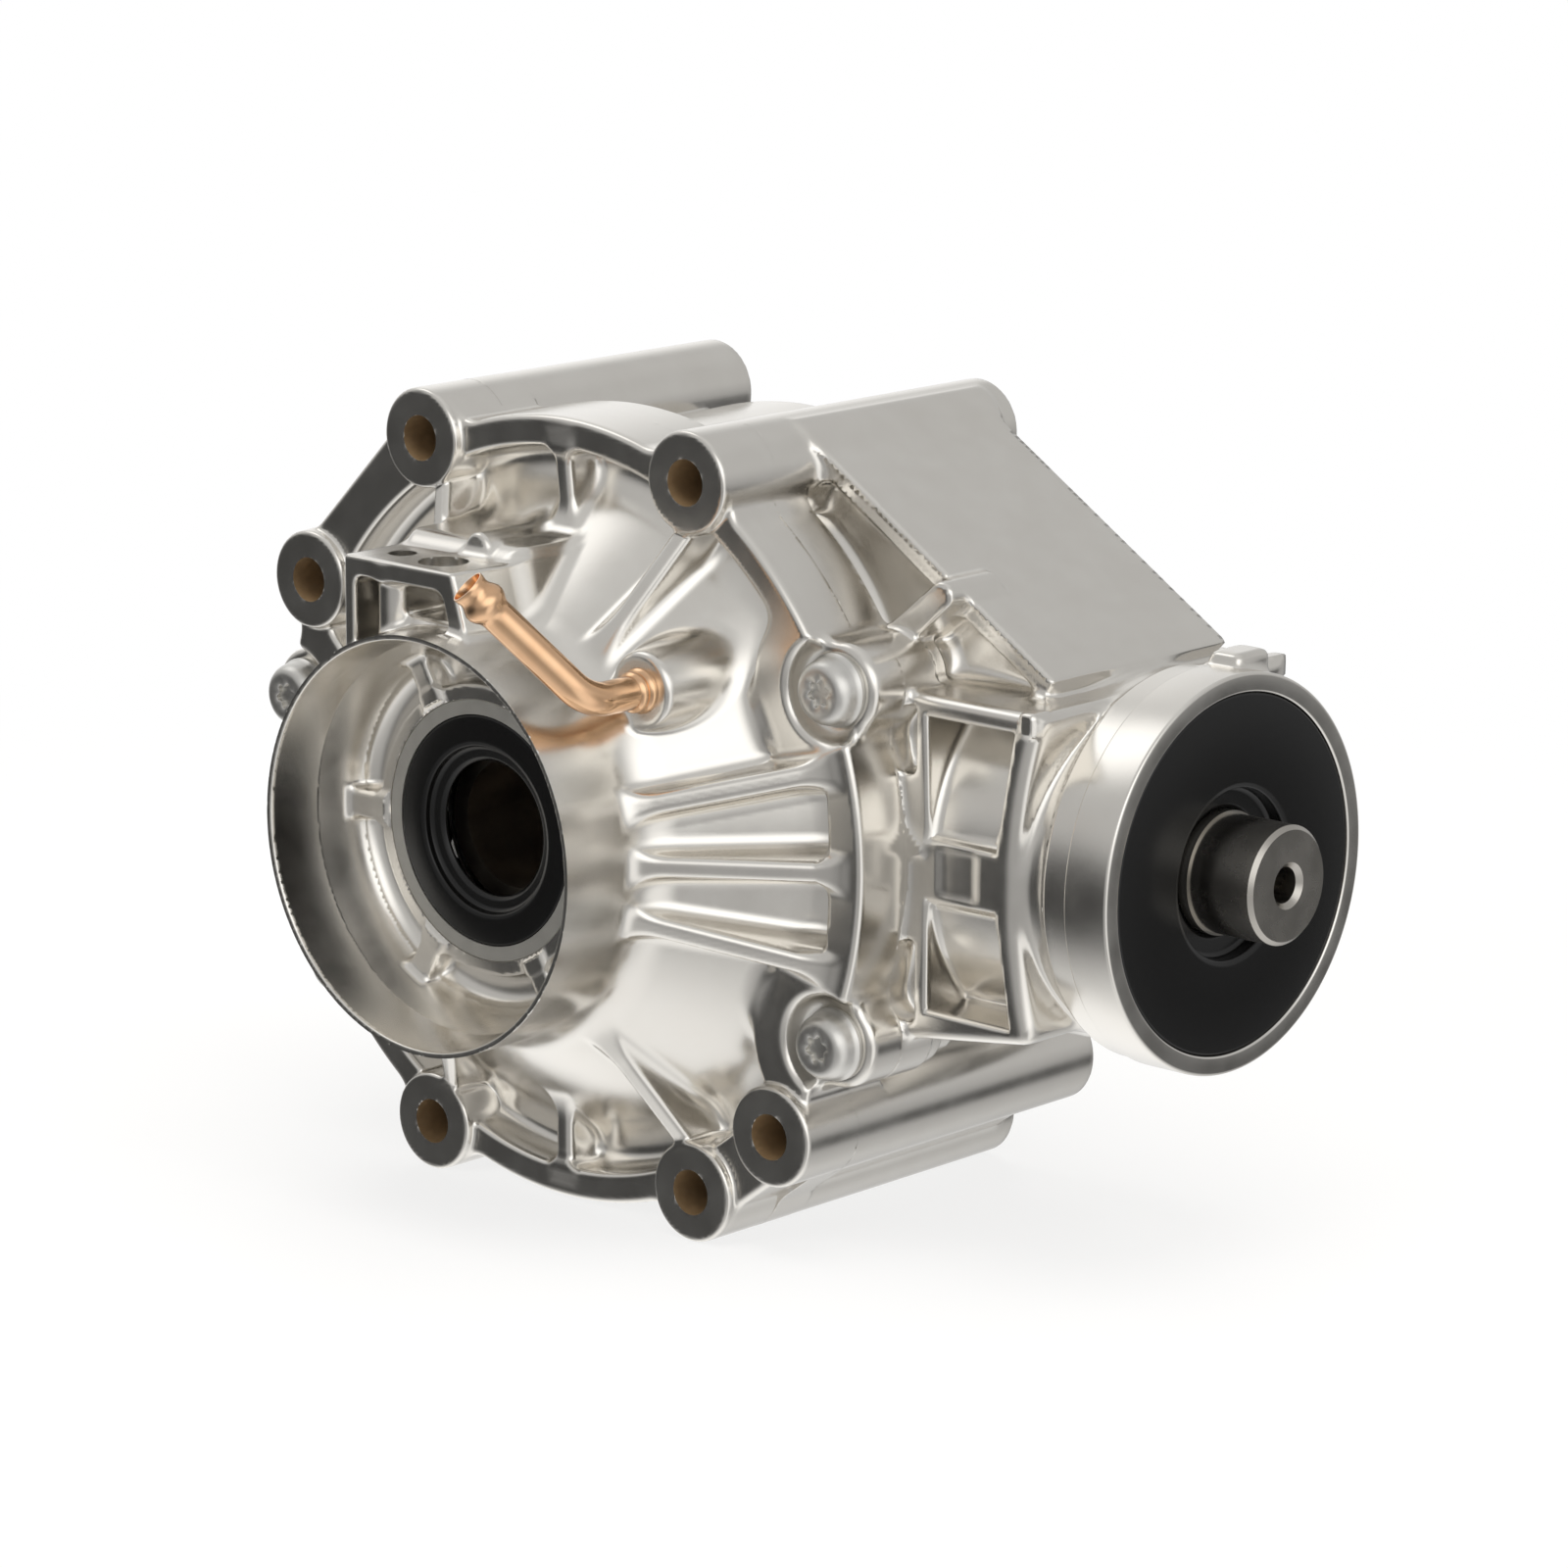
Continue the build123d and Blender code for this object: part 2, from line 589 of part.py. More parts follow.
def side_panels():
    """Flat-sided frame round the neck, open on both sides as ribbed pockets."""
    body = block(-SIDE_FACE_X, SIDE_FACE_X, SIDE_FRONT_Y, SIDE_BACK_Y, -SIDE_HALF_Z, SIDE_HALF_Z)
    corners = body.edges().filter_by(Axis.Y)
    body = fillet(corners, 3)
    pockets = []
    for side in (-1, 1):
        for low, high in ((PAD_HALF_Z, SIDE_HALF_Z - WEB_T), (WEB_T - SIDE_HALF_Z, -PAD_HALF_Z)):
            x0, x1 = sorted((side * POCKET_FLOOR_X, side * (SIDE_FACE_X + 1)))
            pocket = block(x0, x1, POCKET_FRONT_Y, POCKET_BACK_Y, low, high)
            pocket = fillet(pocket.edges().filter_by(Axis.X), 3)
            pockets.append(pocket)
    return body - pockets


def top_plate():
    """Inclined plate from the bolt boss down to the nose, on a narrower wall."""
    slope = atan2(PLATE_TOP_Z - PLATE_END_Z, PLATE_TOP_Y - PLATE_END_Y)
    drop = PLATE_T / cos(slope)
    plate = make_face(Polyline((PLATE_TOP_Y, PLATE_TOP_Z), (PLATE_END_Y, PLATE_END_Z),
                               (PLATE_END_Y, PLATE_END_Z - drop), (PLATE_TOP_Y + 10, PLATE_TOP_Z - drop),
                               (PLATE_TOP_Y + 14, PLATE_TOP_Z), close=True))
    wall = make_face(Polyline((PLATE_TOP_Y, PLATE_TOP_Z - 1), (PLATE_END_Y, PLATE_END_Z - 1),
                              (PLATE_END_Y, 20), (PLATE_TOP_Y, 20), close=True))
    return slab_x(plate, PLATE_X0, PLATE_X1) + slab_x(wall, PLATE_X0 + WALL_SET, PLATE_X1 - WALL_SET)


def main_housing():
    """Cast main housing: barrel, bolt bosses, ribbed neck and bearing seats."""
    shape = barrel() + slab_x(flange_outline(), PARTING_X, PARTING_X + HOUSING_FLANGE_T)
    shape += neck_outside() + side_panels() + top_plate()
    for centre in BOLTS:
        shape += rod_x(PARTING_X, BOSS_BACK_X, BOSS_R, *centre)
        fin = block(PARTING_X, BOSS_BACK_X - 4, BARREL_R - 16, hypot(*centre), -FIN_T / 2, FIN_T / 2)
        shape += Rot(bearing_of(centre), 0, 0) * fin
    for angle in SCREW_ANGLES:
        shape += rod_x(PARTING_X, SCREW_BOSS_END_X, EAR_R - 0.6, *polar(SCREW_RING_R, angle))
    for index in range(REAR_RIB_COUNT):
        rib = make_face(Polyline((BARREL_BACK_X - 2, BARREL_R - 4), (BARREL_BACK_X + 9, BARREL_R - 6),
                                 (REAR_HUB_X - 12, REAR_HUB_R + 1), (REAR_HUB_X - 12, REAR_HUB_R - 4),
                                 (BARREL_BACK_X, REAR_HUB_R - 4), close=True))
        rib = extrude(rib, RIB_WIDTH / 2, both=True)
        shape += Rot(360 * (index + 0.5) / REAR_RIB_COUNT, 0, 0) * rib
    shape += rod_x(BARREL_BACK_X - 4, PLUG_FACE_X, PLUG_BOSS_R, *polar(PLUG_RING_R, FILL_ANGLE))
    shape += rod_x(BARREL_BACK_X - 4, PLUG_FACE_X, PLUG_BOSS_R, *polar(PLUG_RING_R, DRAIN_ANGLE))
    shape -= barrel_inside()
    shape -= neck_inside()
    shape -= bolt_holes(PARTING_X - 1, BOSS_BACK_X + 1)
    for angle in SCREW_ANGLES:
        depth = EAR_FACE_X + SCREW_LENGTH + 3
        shape -= rod_x(PARTING_X - 1, depth, SCREW_R + THREAD_CLEARANCE, *polar(SCREW_RING_R, angle))
    for angle in (FILL_ANGLE, DRAIN_ANGLE):
        shape -= rod_x(0, PLUG_FACE_X + 1, PLUG_R + THREAD_CLEARANCE, *polar(PLUG_RING_R, angle))
    groove = rod_x(PARTING_X, PARTING_X + SEAL_CORD, GROOVE_R + SEAL_CORD / 2)
    shape -= groove - rod_x(PARTING_X - 1, PARTING_X + SEAL_CORD + 1, GROOVE_R - SEAL_CORD / 2)
    return shape


def shaft_seal(outer, lip, length, open_r, lip_depth):
    """Shaft seal: stiffened ring with a rubber lip, its front face at z = 0, body to z = length."""
    return turned((outer, 0), (open_r + 0.8, 0), (open_r, 0.8), (open_r, lip_depth),
                  (lip, lip_depth + 0.8), (lip, lip_depth + 2.2), (open_r + 3, lip_depth + 3),
                  (open_r + 3, length - 0.01), (outer, length - 0.01))


def screws():
    """Cover screws with round flanged heads and a six-lobed socket."""
    head = turned((0, -SCREW_HEAD_H), (SCREW_HEAD_TOP_R, -SCREW_HEAD_H),
                  (SCREW_HEAD_R - 0.6, -SCREW_HEAD_H * 0.55), (SCREW_HEAD_R, -SCREW_HEAD_H * 0.2),
                  (SCREW_HEAD_R, 0), (SCREW_R, 0), (SCREW_R, SCREW_LENGTH - 1),
                  (SCREW_R - 1, SCREW_LENGTH), (0, SCREW_LENGTH))
    lobes = Circle(SOCKET_R)
    for index in range(6):
        lobes += Rot(0, 0, 60 * index) * Pos(SOCKET_R + 0.4, 0) * Circle(0.75)
    head -= Pos(0, 0, -SCREW_HEAD_H - 1) * extrude(lobes, 4)
    pieces = []
    for angle in SCREW_ANGLES:
        spot = Plane(origin=(EAR_FACE_X, *polar(SCREW_RING_R, angle)), x_dir=(0, 1, 0), z_dir=(1, 0, 0))
        pieces.append(spot * head)
    return pieces


def breather():
    """Breather tube: out of its boss along the axis, one bend, and a barbed open end."""
    start = Vector(BREATHER_FACE_X + 9, BREATHER_Y, BREATHER_Z)
    corner = Vector(TUBE_BEND_X, BREATHER_Y, BREATHER_Z)
    end = Vector(*TUBE_END)
    path = FilletPolyline(start, corner, end, radius=TUBE_BEND_R)
    section = Plane(origin=start, z_dir=(-1, 0, 0)) * (Circle(TUBE_R - 0.02) - Circle(TUBE_R - TUBE_WALL))
    tube = sweep(section, path=path)
    way = (end - corner).normalized()
    barb = turned((TUBE_R - 0.3, -8.5), (TUBE_R + 0.2, -7.5), (BARB_R, -4.5), (TUBE_R + 0.2, -1.8),
                  (TUBE_R + 0.2, 0), (TUBE_R - TUBE_WALL, 0), (TUBE_R - TUBE_WALL, -8.5))
    tube += Plane(origin=end, z_dir=way) * barb
    for x, radius in ((BREATHER_FACE_X - 0.9, TUBE_R + 1.2), (BREATHER_FACE_X - 2.6, TUBE_R + 0.7)):
        collar = rod_x(x - 0.9, x + 0.9, radius, BREATHER_Y, BREATHER_Z)
        tube += collar - rod_x(x - 2, x + 2, TUBE_R - TUBE_WALL, BREATHER_Y, BREATHER_Z)
    return tube


def ring_gear():
    """Spiral bevel ring gear, local Z pointing to the cover."""
    inner, outer = root_points(RING_TEETH, PINION_TEETH, GEAR_MODULE, GEAR_FACE, RING_DEDENDUM)
    blank = turned(inner, outer, (outer[0], RING_BACK_Z), (RING_BORE_R, RING_BACK_Z),
                   (RING_BORE_R, inner[1] + 1.5), (inner[0] - 3, inner[1]))
    teeth = bevel_teeth(RING_TEETH, PINION_TEETH, GEAR_MODULE, GEAR_FACE, RING_ADDENDUM, RING_DEDENDUM,
                        -GEAR_SHIFT, GEAR_BACKLASH, SPIRAL_ANGLE, 1, 0, 2)
    return blank + teeth


def pinion_shaft():
    """Spiral bevel pinion and its shaft, local Z pointing out of the nose."""
    inner, outer = root_points(PINION_TEETH, RING_TEETH, GEAR_MODULE, GEAR_FACE, PINION_DEDENDUM)
    head_y, tail_y, end = -HEAD_BEARING_Y, -TAIL_BEARING_Y, -SHAFT_END_Y
    head_r, tail_r = HEAD_BEARING[0], TAIL_BEARING[0]
    head_end = head_y + HEAD_BEARING[2] - SHAFT_STEP
    body = turned((0, inner[1]), inner, outer, (PINION_COLLAR_R, outer[1] + 2),
                  (PINION_COLLAR_R, head_y), (head_r, head_y), (head_r, head_end),
                  (tail_r, head_end), (tail_r, tail_y), (JOURNAL_R, tail_y),
                  (JOURNAL_R, -JOURNAL_END_Y), (SHAFT_R, -JOURNAL_END_Y),
                  (SHAFT_R, end - SHAFT_CHAMFER), (SHAFT_R - SHAFT_CHAMFER, end), (0, end))
    teeth = bevel_teeth(PINION_TEETH, RING_TEETH, GEAR_MODULE, GEAR_FACE, PINION_ADDENDUM,
                        PINION_DEDENDUM, GEAR_SHIFT, GEAR_BACKLASH, SPIRAL_ANGLE, -1, 0, 3)
    hole = turned((0, end + 1), (CENTRE_HOLE_R + 1.25, end + 1), (CENTRE_HOLE_R + 1.25, end),
                  (CENTRE_HOLE_R, end - 1.25), (CENTRE_HOLE_R, end - CENTRE_HOLE_DEPTH),
                  (0, end - CENTRE_HOLE_DEPTH - 2.5))
    return body + teeth - hole


def side_gear():
    """Differential side gear with its hub and output bore, cone tip at the origin."""
    inner, outer = root_points(SIDE_TEETH, PLANET_TEETH, DIFF_MODULE, DIFF_FACE, DIFF_DEDENDUM)
    blank = turned((SPLINE_R, inner[1] + 1), inner, outer, (outer[0], SIDE_BACK_Z),
                   (SIDE_HUB_R, SIDE_BACK_Z), (SIDE_HUB_R, SIDE_BACK_Z + SIDE_HUB_L),
                   (SPLINE_R, SIDE_BACK_Z + SIDE_HUB_L))
    teeth = bevel_teeth(SIDE_TEETH, PLANET_TEETH, DIFF_MODULE, DIFF_FACE, DIFF_ADDENDUM, DIFF_DEDENDUM,
                        0, DIFF_BACKLASH, 0, 1, 180 / SIDE_TEETH, 1)
    return blank + teeth


def planet_gear():
    """Differential planet gear, cone tip at the origin, with a round back."""
    inner, outer = root_points(PLANET_TEETH, SIDE_TEETH, DIFF_MODULE, DIFF_FACE, DIFF_DEDENDUM)
    blank = turned((PIN_R + RUN_FIT, inner[1]), inner, outer, (outer[0], PLANET_BACK_Z - 2.5),
                   (PLANET_HUB_R, PLANET_BACK_Z), (PIN_R + RUN_FIT, PLANET_BACK_Z))
    teeth = bevel_teeth(PLANET_TEETH, SIDE_TEETH, DIFF_MODULE, DIFF_FACE, DIFF_ADDENDUM, DIFF_DEDENDUM,
                        0, DIFF_BACKLASH, 0, 1, 0, 1)
    return blank + teeth


def diff_case():
    """Differential case: flange for the ring gear, windows, cross-pin bore and two hubs."""
    hub_r = DIFF_BEARING[0]
    shape = outline_x((FLANGE_BACK_X, 0), (FLANGE_BACK_X, CASE_FLANGE_R), (-RING_BACK_Z, CASE_FLANGE_R),
                      (-RING_BACK_Z, RING_BORE_R), (-RING_BACK_Z + CASE_PILOT, RING_BORE_R),
                      (-RING_BACK_Z + CASE_PILOT, CASE_R), (CASE_END_X - 8, CASE_R),
                      (CASE_END_X, CASE_R - 10), (REAR_BEARING_X - 1, hub_r + 5), (REAR_BEARING_X, hub_r + 5),
                      (REAR_BEARING_X, hub_r), (REAR_HUB_END_X, hub_r), (REAR_HUB_END_X, 0))
    shape += outline_x((FLANGE_BACK_X, 0), (FLANGE_BACK_X, hub_r + 9), (FRONT_BEARING_X, hub_r + 5),
                       (FRONT_BEARING_X, hub_r), (FRONT_HUB_END_X, hub_r), (FRONT_HUB_END_X, 0))
    room = DIFF_CENTRE_X + SIDE_BACK_Z + WASHER_T
    left = DIFF_CENTRE_X - SIDE_BACK_Z - WASHER_T
    shape -= outline_x((left, 0), (left, SIDE_ROOM_R), (left + 8, CASE_ROOM_R),
                       (room - 8, CASE_ROOM_R), (room, SIDE_ROOM_R), (room, 0))
    hub_length = SIDE_HUB_L - WASHER_T + 1
    shape -= rod_x(left - hub_length, room + hub_length, SIDE_HUB_R + RUN_FIT)
    shape -= rod_x(FRONT_HUB_END_X - 1, REAR_HUB_END_X + 1, OUTPUT_BORE_R)
    for side in (-1, 1):
        window = Pos(DIFF_CENTRE_X, side * CASE_R, 0) * Box(WINDOW_X, CASE_R, WINDOW_Z)
        shape -= fillet(window.edges().filter_by(Axis.Y), 6)
    shape -= Pos(DIFF_CENTRE_X, 0, 0) * Cylinder(PIN_R, 3 * CASE_R)
    shape -= Pos(DIFF_CENTRE_X, 0, 0) * Cylinder(PLANET_HUB_R + PLANET_GAP, 2 * (PLANET_BACK_Z + WASHER_T))
    for index in range(RING_BOLT_COUNT):
        spot = polar(RING_BOLT_R, 360 * index / RING_BOLT_COUNT)
        shape -= rod_x(FLANGE_BACK_X - 1, -RING_BACK_Z + 1, RING_BOLT_SHANK_R + THREAD_CLEARANCE * 5, *spot)
    lock = rod_x(FLANGE_BACK_X - 30, LOCK_X1, LOCK_R, 0, LOCK_Z)
    return shape - lock


def place(x, y, z, x_dir, z_dir):
    """Frame for a piece drawn on its own local axes."""
    return Plane(origin=(x, y, z), x_dir=x_dir, z_dir=z_dir)


def bearing_nodes(name, size, frame):
    """The four nodes of one tapered roller bearing."""
    cup, cone, rollers, cage = tapered_bearing(*size)
    return {name + "_cup": frame * cup, name + "_cone": frame * cone,
            name + "_rollers": [frame * roller for roller in rollers], name + "_cage": frame * cage}


def differential_nodes():
    """Everything inside the differential case, and the case itself."""
    nodes = {"diff_case": diff_case()}
    front = place(DIFF_CENTRE_X, 0, 0, (0, 0, 1), (-1, 0, 0))
    rear = place(DIFF_CENTRE_X, 0, 0, (0, 0, 1), (1, 0, 0))
    gear = side_gear()
    nodes["side_gear_front"] = front * gear
    nodes["side_gear_rear"] = rear * gear
    washer = turned((SIDE_HUB_R + RUN_FIT, SIDE_BACK_Z), (SIDE_WASHER_R, SIDE_BACK_Z),
                    (SIDE_WASHER_R, SIDE_BACK_Z + WASHER_T), (SIDE_HUB_R + RUN_FIT, SIDE_BACK_Z + WASHER_T))
    nodes["side_washers"] = [front * washer, rear * washer]
    planet = planet_gear()
    upper = place(DIFF_CENTRE_X, 0, 0, (1, 0, 0), (0, 0, 1))
    lower = place(DIFF_CENTRE_X, 0, 0, (1, 0, 0), (0, 0, -1))
    nodes["planet_gear_upper"] = upper * planet
    nodes["planet_gear_lower"] = lower * planet
    thrust = turned((PIN_R + RUN_FIT, PLANET_BACK_Z), (PLANET_HUB_R, PLANET_BACK_Z),
                    (PLANET_HUB_R, PLANET_BACK_Z + WASHER_T), (PIN_R + RUN_FIT, PLANET_BACK_Z + WASHER_T))
    nodes["planet_washers"] = [upper * thrust, lower * thrust]
    pin = Pos(DIFF_CENTRE_X, 0, 0) * Cylinder(PIN_R - FIT, 2 * (CASE_R - 1))
    lock = rod_x(LOCK_X0, LOCK_X1 - 0.5, LOCK_R - FIT, 0, LOCK_Z)
    nodes["cross_pin"] = pin - rod_x(DIFF_CENTRE_X - 20, DIFF_CENTRE_X + 20, LOCK_R, 0, LOCK_Z)
    nodes["cross_pin_lock"] = lock
    ring = place(0, 0, 0, (0, -1, 0), (-1, 0, 0)) * Rot(0, 0, 180 / RING_TEETH) * ring_gear()
    bolts = []
    for index in range(RING_BOLT_COUNT):
        spot = polar(RING_BOLT_R, 360 * index / RING_BOLT_COUNT)
        ring -= rod_x(-RING_BACK_Z - 1, -RING_BACK_Z + RING_BOLT_GRIP + 1, RING_BOLT_SHANK_R + FIT, *spot)
        shank = rod_x(FLANGE_BACK_X, -RING_BACK_Z + RING_BOLT_GRIP, RING_BOLT_SHANK_R, *spot)
        head = Plane(origin=(FLANGE_BACK_X - RING_BOLT_HEAD, *spot), x_dir=(0, 1, 0), z_dir=(1, 0, 0))
        head = extrude(head * RegularPolygon(RING_BOLT_HEX, 6), RING_BOLT_HEAD)
        bolts.append(shank + head)
    nodes["ring_gear"] = ring
    nodes["ring_gear_bolts"] = bolts
    return nodes


def pinion_nodes():
    """Pinion shaft and what is clamped on it."""
    frame = place(0, 0, 0, (-1, 0, 0), (0, -1, 0))
    head_end = -HEAD_BEARING_Y + HEAD_BEARING[2]
    tail_start = -TAIL_BEARING_Y - TAIL_BEARING[2]
    tail_r = TAIL_BEARING[0] + FIT
    middle = (head_end + tail_start) / 2
    wall, belly = SLEEVE_WALL, SLEEVE_BELLY
    sleeve = turned((tail_r, head_end), (tail_r + wall, head_end), (tail_r + wall, middle - 2 * belly),
                    (tail_r + wall + belly, middle), (tail_r + wall, middle + 2 * belly),
                    (tail_r + wall, tail_start), (tail_r, tail_start), (tail_r, middle + 2 * belly),
                    (tail_r + belly, middle), (tail_r, middle - 2 * belly))
    start = -TAIL_BEARING_Y
    hexagon = Pos(0, 0, start + NUT_COLLAR) * extrude(RegularPolygon(NUT_HEX, 6), NUT_T - NUT_COLLAR)
    nut = turned((0, start), (NUT_COLLAR_R, start), (NUT_COLLAR_R, start + NUT_COLLAR), (0, start + NUT_COLLAR))
    nut = nut + hexagon - Pos(0, 0, start) * Cylinder(JOURNAL_R + FIT, 3 * NUT_T)
    return {"pinion_shaft": frame * pinion_shaft(), "crush_sleeve": frame * sleeve, "pinion_nut": frame * nut}


def seal_nodes():
    """The two output seals, the pinion seal and the cover's sealing ring."""
    seal = shaft_seal(OUTPUT_RING_R, OUTPUT_LIP_R, OUTPUT_SEAL_T, OUTPUT_OPEN_R, 2.4)
    case = turned((OUTPUT_SEAL_R, 0.3), (OUTPUT_SEAL_R - 0.3, 0), (OUTPUT_RING_R, 0),
                  (OUTPUT_RING_R, OUTPUT_SEAL_T - 0.01), (OUTPUT_SEAL_R, OUTPUT_SEAL_T - 0.01))
    front = place(FRONT_SEAL_X, 0, 0, (0, 1, 0), (1, 0, 0))
    rear = place(REAR_HUB_X, 0, 0, (0, 1, 0), (-1, 0, 0))
    pinion = shaft_seal(PINION_SEAL_R, JOURNAL_R + SEAL_RUN, PINION_SEAL_T, PINION_SEAL_OPEN_R, 4.2)
    cord = Torus(GROOVE_R, SEAL_CORD / 2 - 0.02)
    centre = PARTING_X + SEAL_CORD / 2
    return {"output_seal_front": front * seal, "output_seal_front_case": front * case,
            "output_seal_rear": rear * seal, "output_seal_rear_case": rear * case,
            "pinion_seal": place(0, NOSE_FRONT_Y + SEAL_RECESS, 0, (1, 0, 0), (0, 1, 0)) * pinion,
            "cover_seal_ring": place(centre, 0, 0, (0, 1, 0), (1, 0, 0)) * cord}


def shim(inner, outer, frame):
    """Thin setting ring behind a bearing cup."""
    return frame * turned((inner, 0), (outer, 0), (outer, SHIM_T), (inner, SHIM_T))


def shim_nodes():
    """Setting shims behind three bearing cups."""
    inner, outer = SHOULDER_R + 1, DIFF_BEARING[1]
    front_x = FRONT_BEARING_X - DIFF_BEARING[2]
    rear_x = REAR_BEARING_X + DIFF_BEARING[2]
    depth_y = HEAD_BEARING_Y - HEAD_BEARING[2]
    return {"front_bearing_shim": shim(inner, outer, place(front_x, 0, 0, (0, 1, 0), (-1, 0, 0))),
            "rear_bearing_shim": shim(inner, outer, place(rear_x, 0, 0, (0, 1, 0), (1, 0, 0))),
            "pinion_depth_shim": shim(NECK_LAND_R + 1, HEAD_BEARING[1],
                                      place(0, depth_y, 0, (1, 0, 0), (0, -1, 0)))}


def plug_nodes():
    """Filler and drain plugs with their sealing washers."""
    head = turned((0, 0), (PLUG_HEAD_R, 0), (PLUG_HEAD_R, PLUG_HEAD_H - 1), (PLUG_HEAD_R - 1, PLUG_HEAD_H),
                  (0, PLUG_HEAD_H))
    stem = turned((0, -PLUG_L), (PLUG_R - 1, -PLUG_L), (PLUG_R, 1 - PLUG_L), (PLUG_R, 0), (0, 0))
    plug = Pos(0, 0, PLUG_WASHER_T) * (head + stem)
    plug -= Pos(0, 0, PLUG_WASHER_T + PLUG_HEAD_H - 5) * extrude(RegularPolygon(PLUG_HEX, 6), 6)
    washer = turned((PLUG_R + 0.3, 0), (PLUG_HEAD_R + 0.6, 0), (PLUG_HEAD_R + 0.6, PLUG_WASHER_T),
                    (PLUG_R + 0.3, PLUG_WASHER_T))
    nodes = {}
    for name, angle in (("fill", FILL_ANGLE), ("drain", DRAIN_ANGLE)):
        frame = place(PLUG_FACE_X, *polar(PLUG_RING_R, angle), (0, 1, 0), (1, 0, 0))
        nodes[name + "_plug"] = frame * plug
        nodes[name + "_plug_washer"] = frame * washer
    return nodes


def dowel_nodes():
    """Hollow dowels round two of the through bolts, across the parting face."""
    sleeves = []
    for centre in DOWEL_BOLTS:
        x0, x1 = PARTING_X - DOWEL_L / 2 + 0.1, PARTING_X + DOWEL_L / 2 - 0.1
        sleeves.append(rod_x(x0, x1, DOWEL_R - FIT, *centre) - rod_x(x0, x1, BOLT_HOLE_R, *centre))
    return {"dowel_sleeves": sleeves}


def dowel_bores():
    """Counterbores for the hollow dowels."""
    return [rod_x(PARTING_X - DOWEL_L / 2, PARTING_X + DOWEL_L / 2, DOWEL_R, *centre)
            for centre in DOWEL_BOLTS]


def all_nodes():
    """Every node of the unit by name."""
    nodes = {"main_housing": main_housing() - dowel_bores(), "side_cover": side_cover() - dowel_bores(),
             "cover_screws": screws(), "breather_tube": breather()}
    nodes.update(seal_nodes())
    nodes.update(shim_nodes())
    nodes.update(plug_nodes())
    nodes.update(dowel_nodes())
    nodes.update(differential_nodes())
    nodes.update(pinion_nodes())
    nodes.update(bearing_nodes("front_bearing", DIFF_BEARING,
                               place(FRONT_BEARING_X, 0, 0, (0, 1, 0), (-1, 0, 0))))
    nodes.update(bearing_nodes("rear_bearing", DIFF_BEARING,
                               place(REAR_BEARING_X, 0, 0, (0, 1, 0), (1, 0, 0))))
    nodes.update(bearing_nodes("pinion_head_bearing", HEAD_BEARING,
                               place(0, HEAD_BEARING_Y, 0, (1, 0, 0), (0, -1, 0))))
    nodes.update(bearing_nodes("pinion_tail_bearing", TAIL_BEARING,
                               place(0, TAIL_BEARING_Y, 0, (1, 0, 0), (0, 1, 0))))
    return nodes


def main():
    """Build every node and write it as its own STEP file."""
    os.makedirs("parts", exist_ok=True)
    for name, shape in all_nodes().items():
        if isinstance(shape, (list, tuple)):
            shape = Compound(children=[Part(piece.wrapped) for piece in shape])
        export_step(shape, f"parts/{name}.step")


main()
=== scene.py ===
"""Looks of the final drive unit: its two castings, fasteners, seals, breather and gears.

The castings are solids given as a distance field in millimetres: a point's distance to the
surface, negative inside. Unions and cuts of simple fields are rounded where they meet, which is
how the fillets of a casting come about, and the surface is then drawn where the field is zero.
The last number of a union or a cut is the width of its rounding. A sloping field is divided by
about the length of its gradient, so that it stays close to a distance.
"""

from math import cos, hypot, pi, radians, sin

import bpy
import numpy as np
from mathutils import Matrix, Vector


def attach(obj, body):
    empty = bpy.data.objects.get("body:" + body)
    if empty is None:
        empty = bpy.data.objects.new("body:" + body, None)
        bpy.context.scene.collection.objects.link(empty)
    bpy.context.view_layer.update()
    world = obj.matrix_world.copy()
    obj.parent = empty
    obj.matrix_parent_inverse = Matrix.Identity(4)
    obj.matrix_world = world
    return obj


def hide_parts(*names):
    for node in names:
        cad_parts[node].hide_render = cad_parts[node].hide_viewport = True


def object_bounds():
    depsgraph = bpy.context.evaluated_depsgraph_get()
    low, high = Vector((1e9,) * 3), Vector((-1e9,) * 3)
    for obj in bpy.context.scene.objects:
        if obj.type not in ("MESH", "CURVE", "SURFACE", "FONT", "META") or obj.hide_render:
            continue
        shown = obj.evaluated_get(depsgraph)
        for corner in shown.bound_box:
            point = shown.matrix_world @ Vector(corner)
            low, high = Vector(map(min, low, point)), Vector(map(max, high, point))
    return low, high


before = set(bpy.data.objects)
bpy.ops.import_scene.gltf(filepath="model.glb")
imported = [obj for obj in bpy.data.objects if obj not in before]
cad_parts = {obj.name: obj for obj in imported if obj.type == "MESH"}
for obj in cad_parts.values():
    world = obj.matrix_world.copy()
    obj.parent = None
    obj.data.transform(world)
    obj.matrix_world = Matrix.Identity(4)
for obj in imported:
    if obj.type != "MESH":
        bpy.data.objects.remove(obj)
CAD_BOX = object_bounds()

bl_info = {
    "name": "Final drive unit",
    "version": (1, 0, 0),
    "blender": (4, 5, 0),
    "location": "View3D > Sidebar > Drive unit",
    "description": "Builds the castings, fasteners, seals and finishes of a final drive unit",
    "category": "Object",
}

MM = 0.001

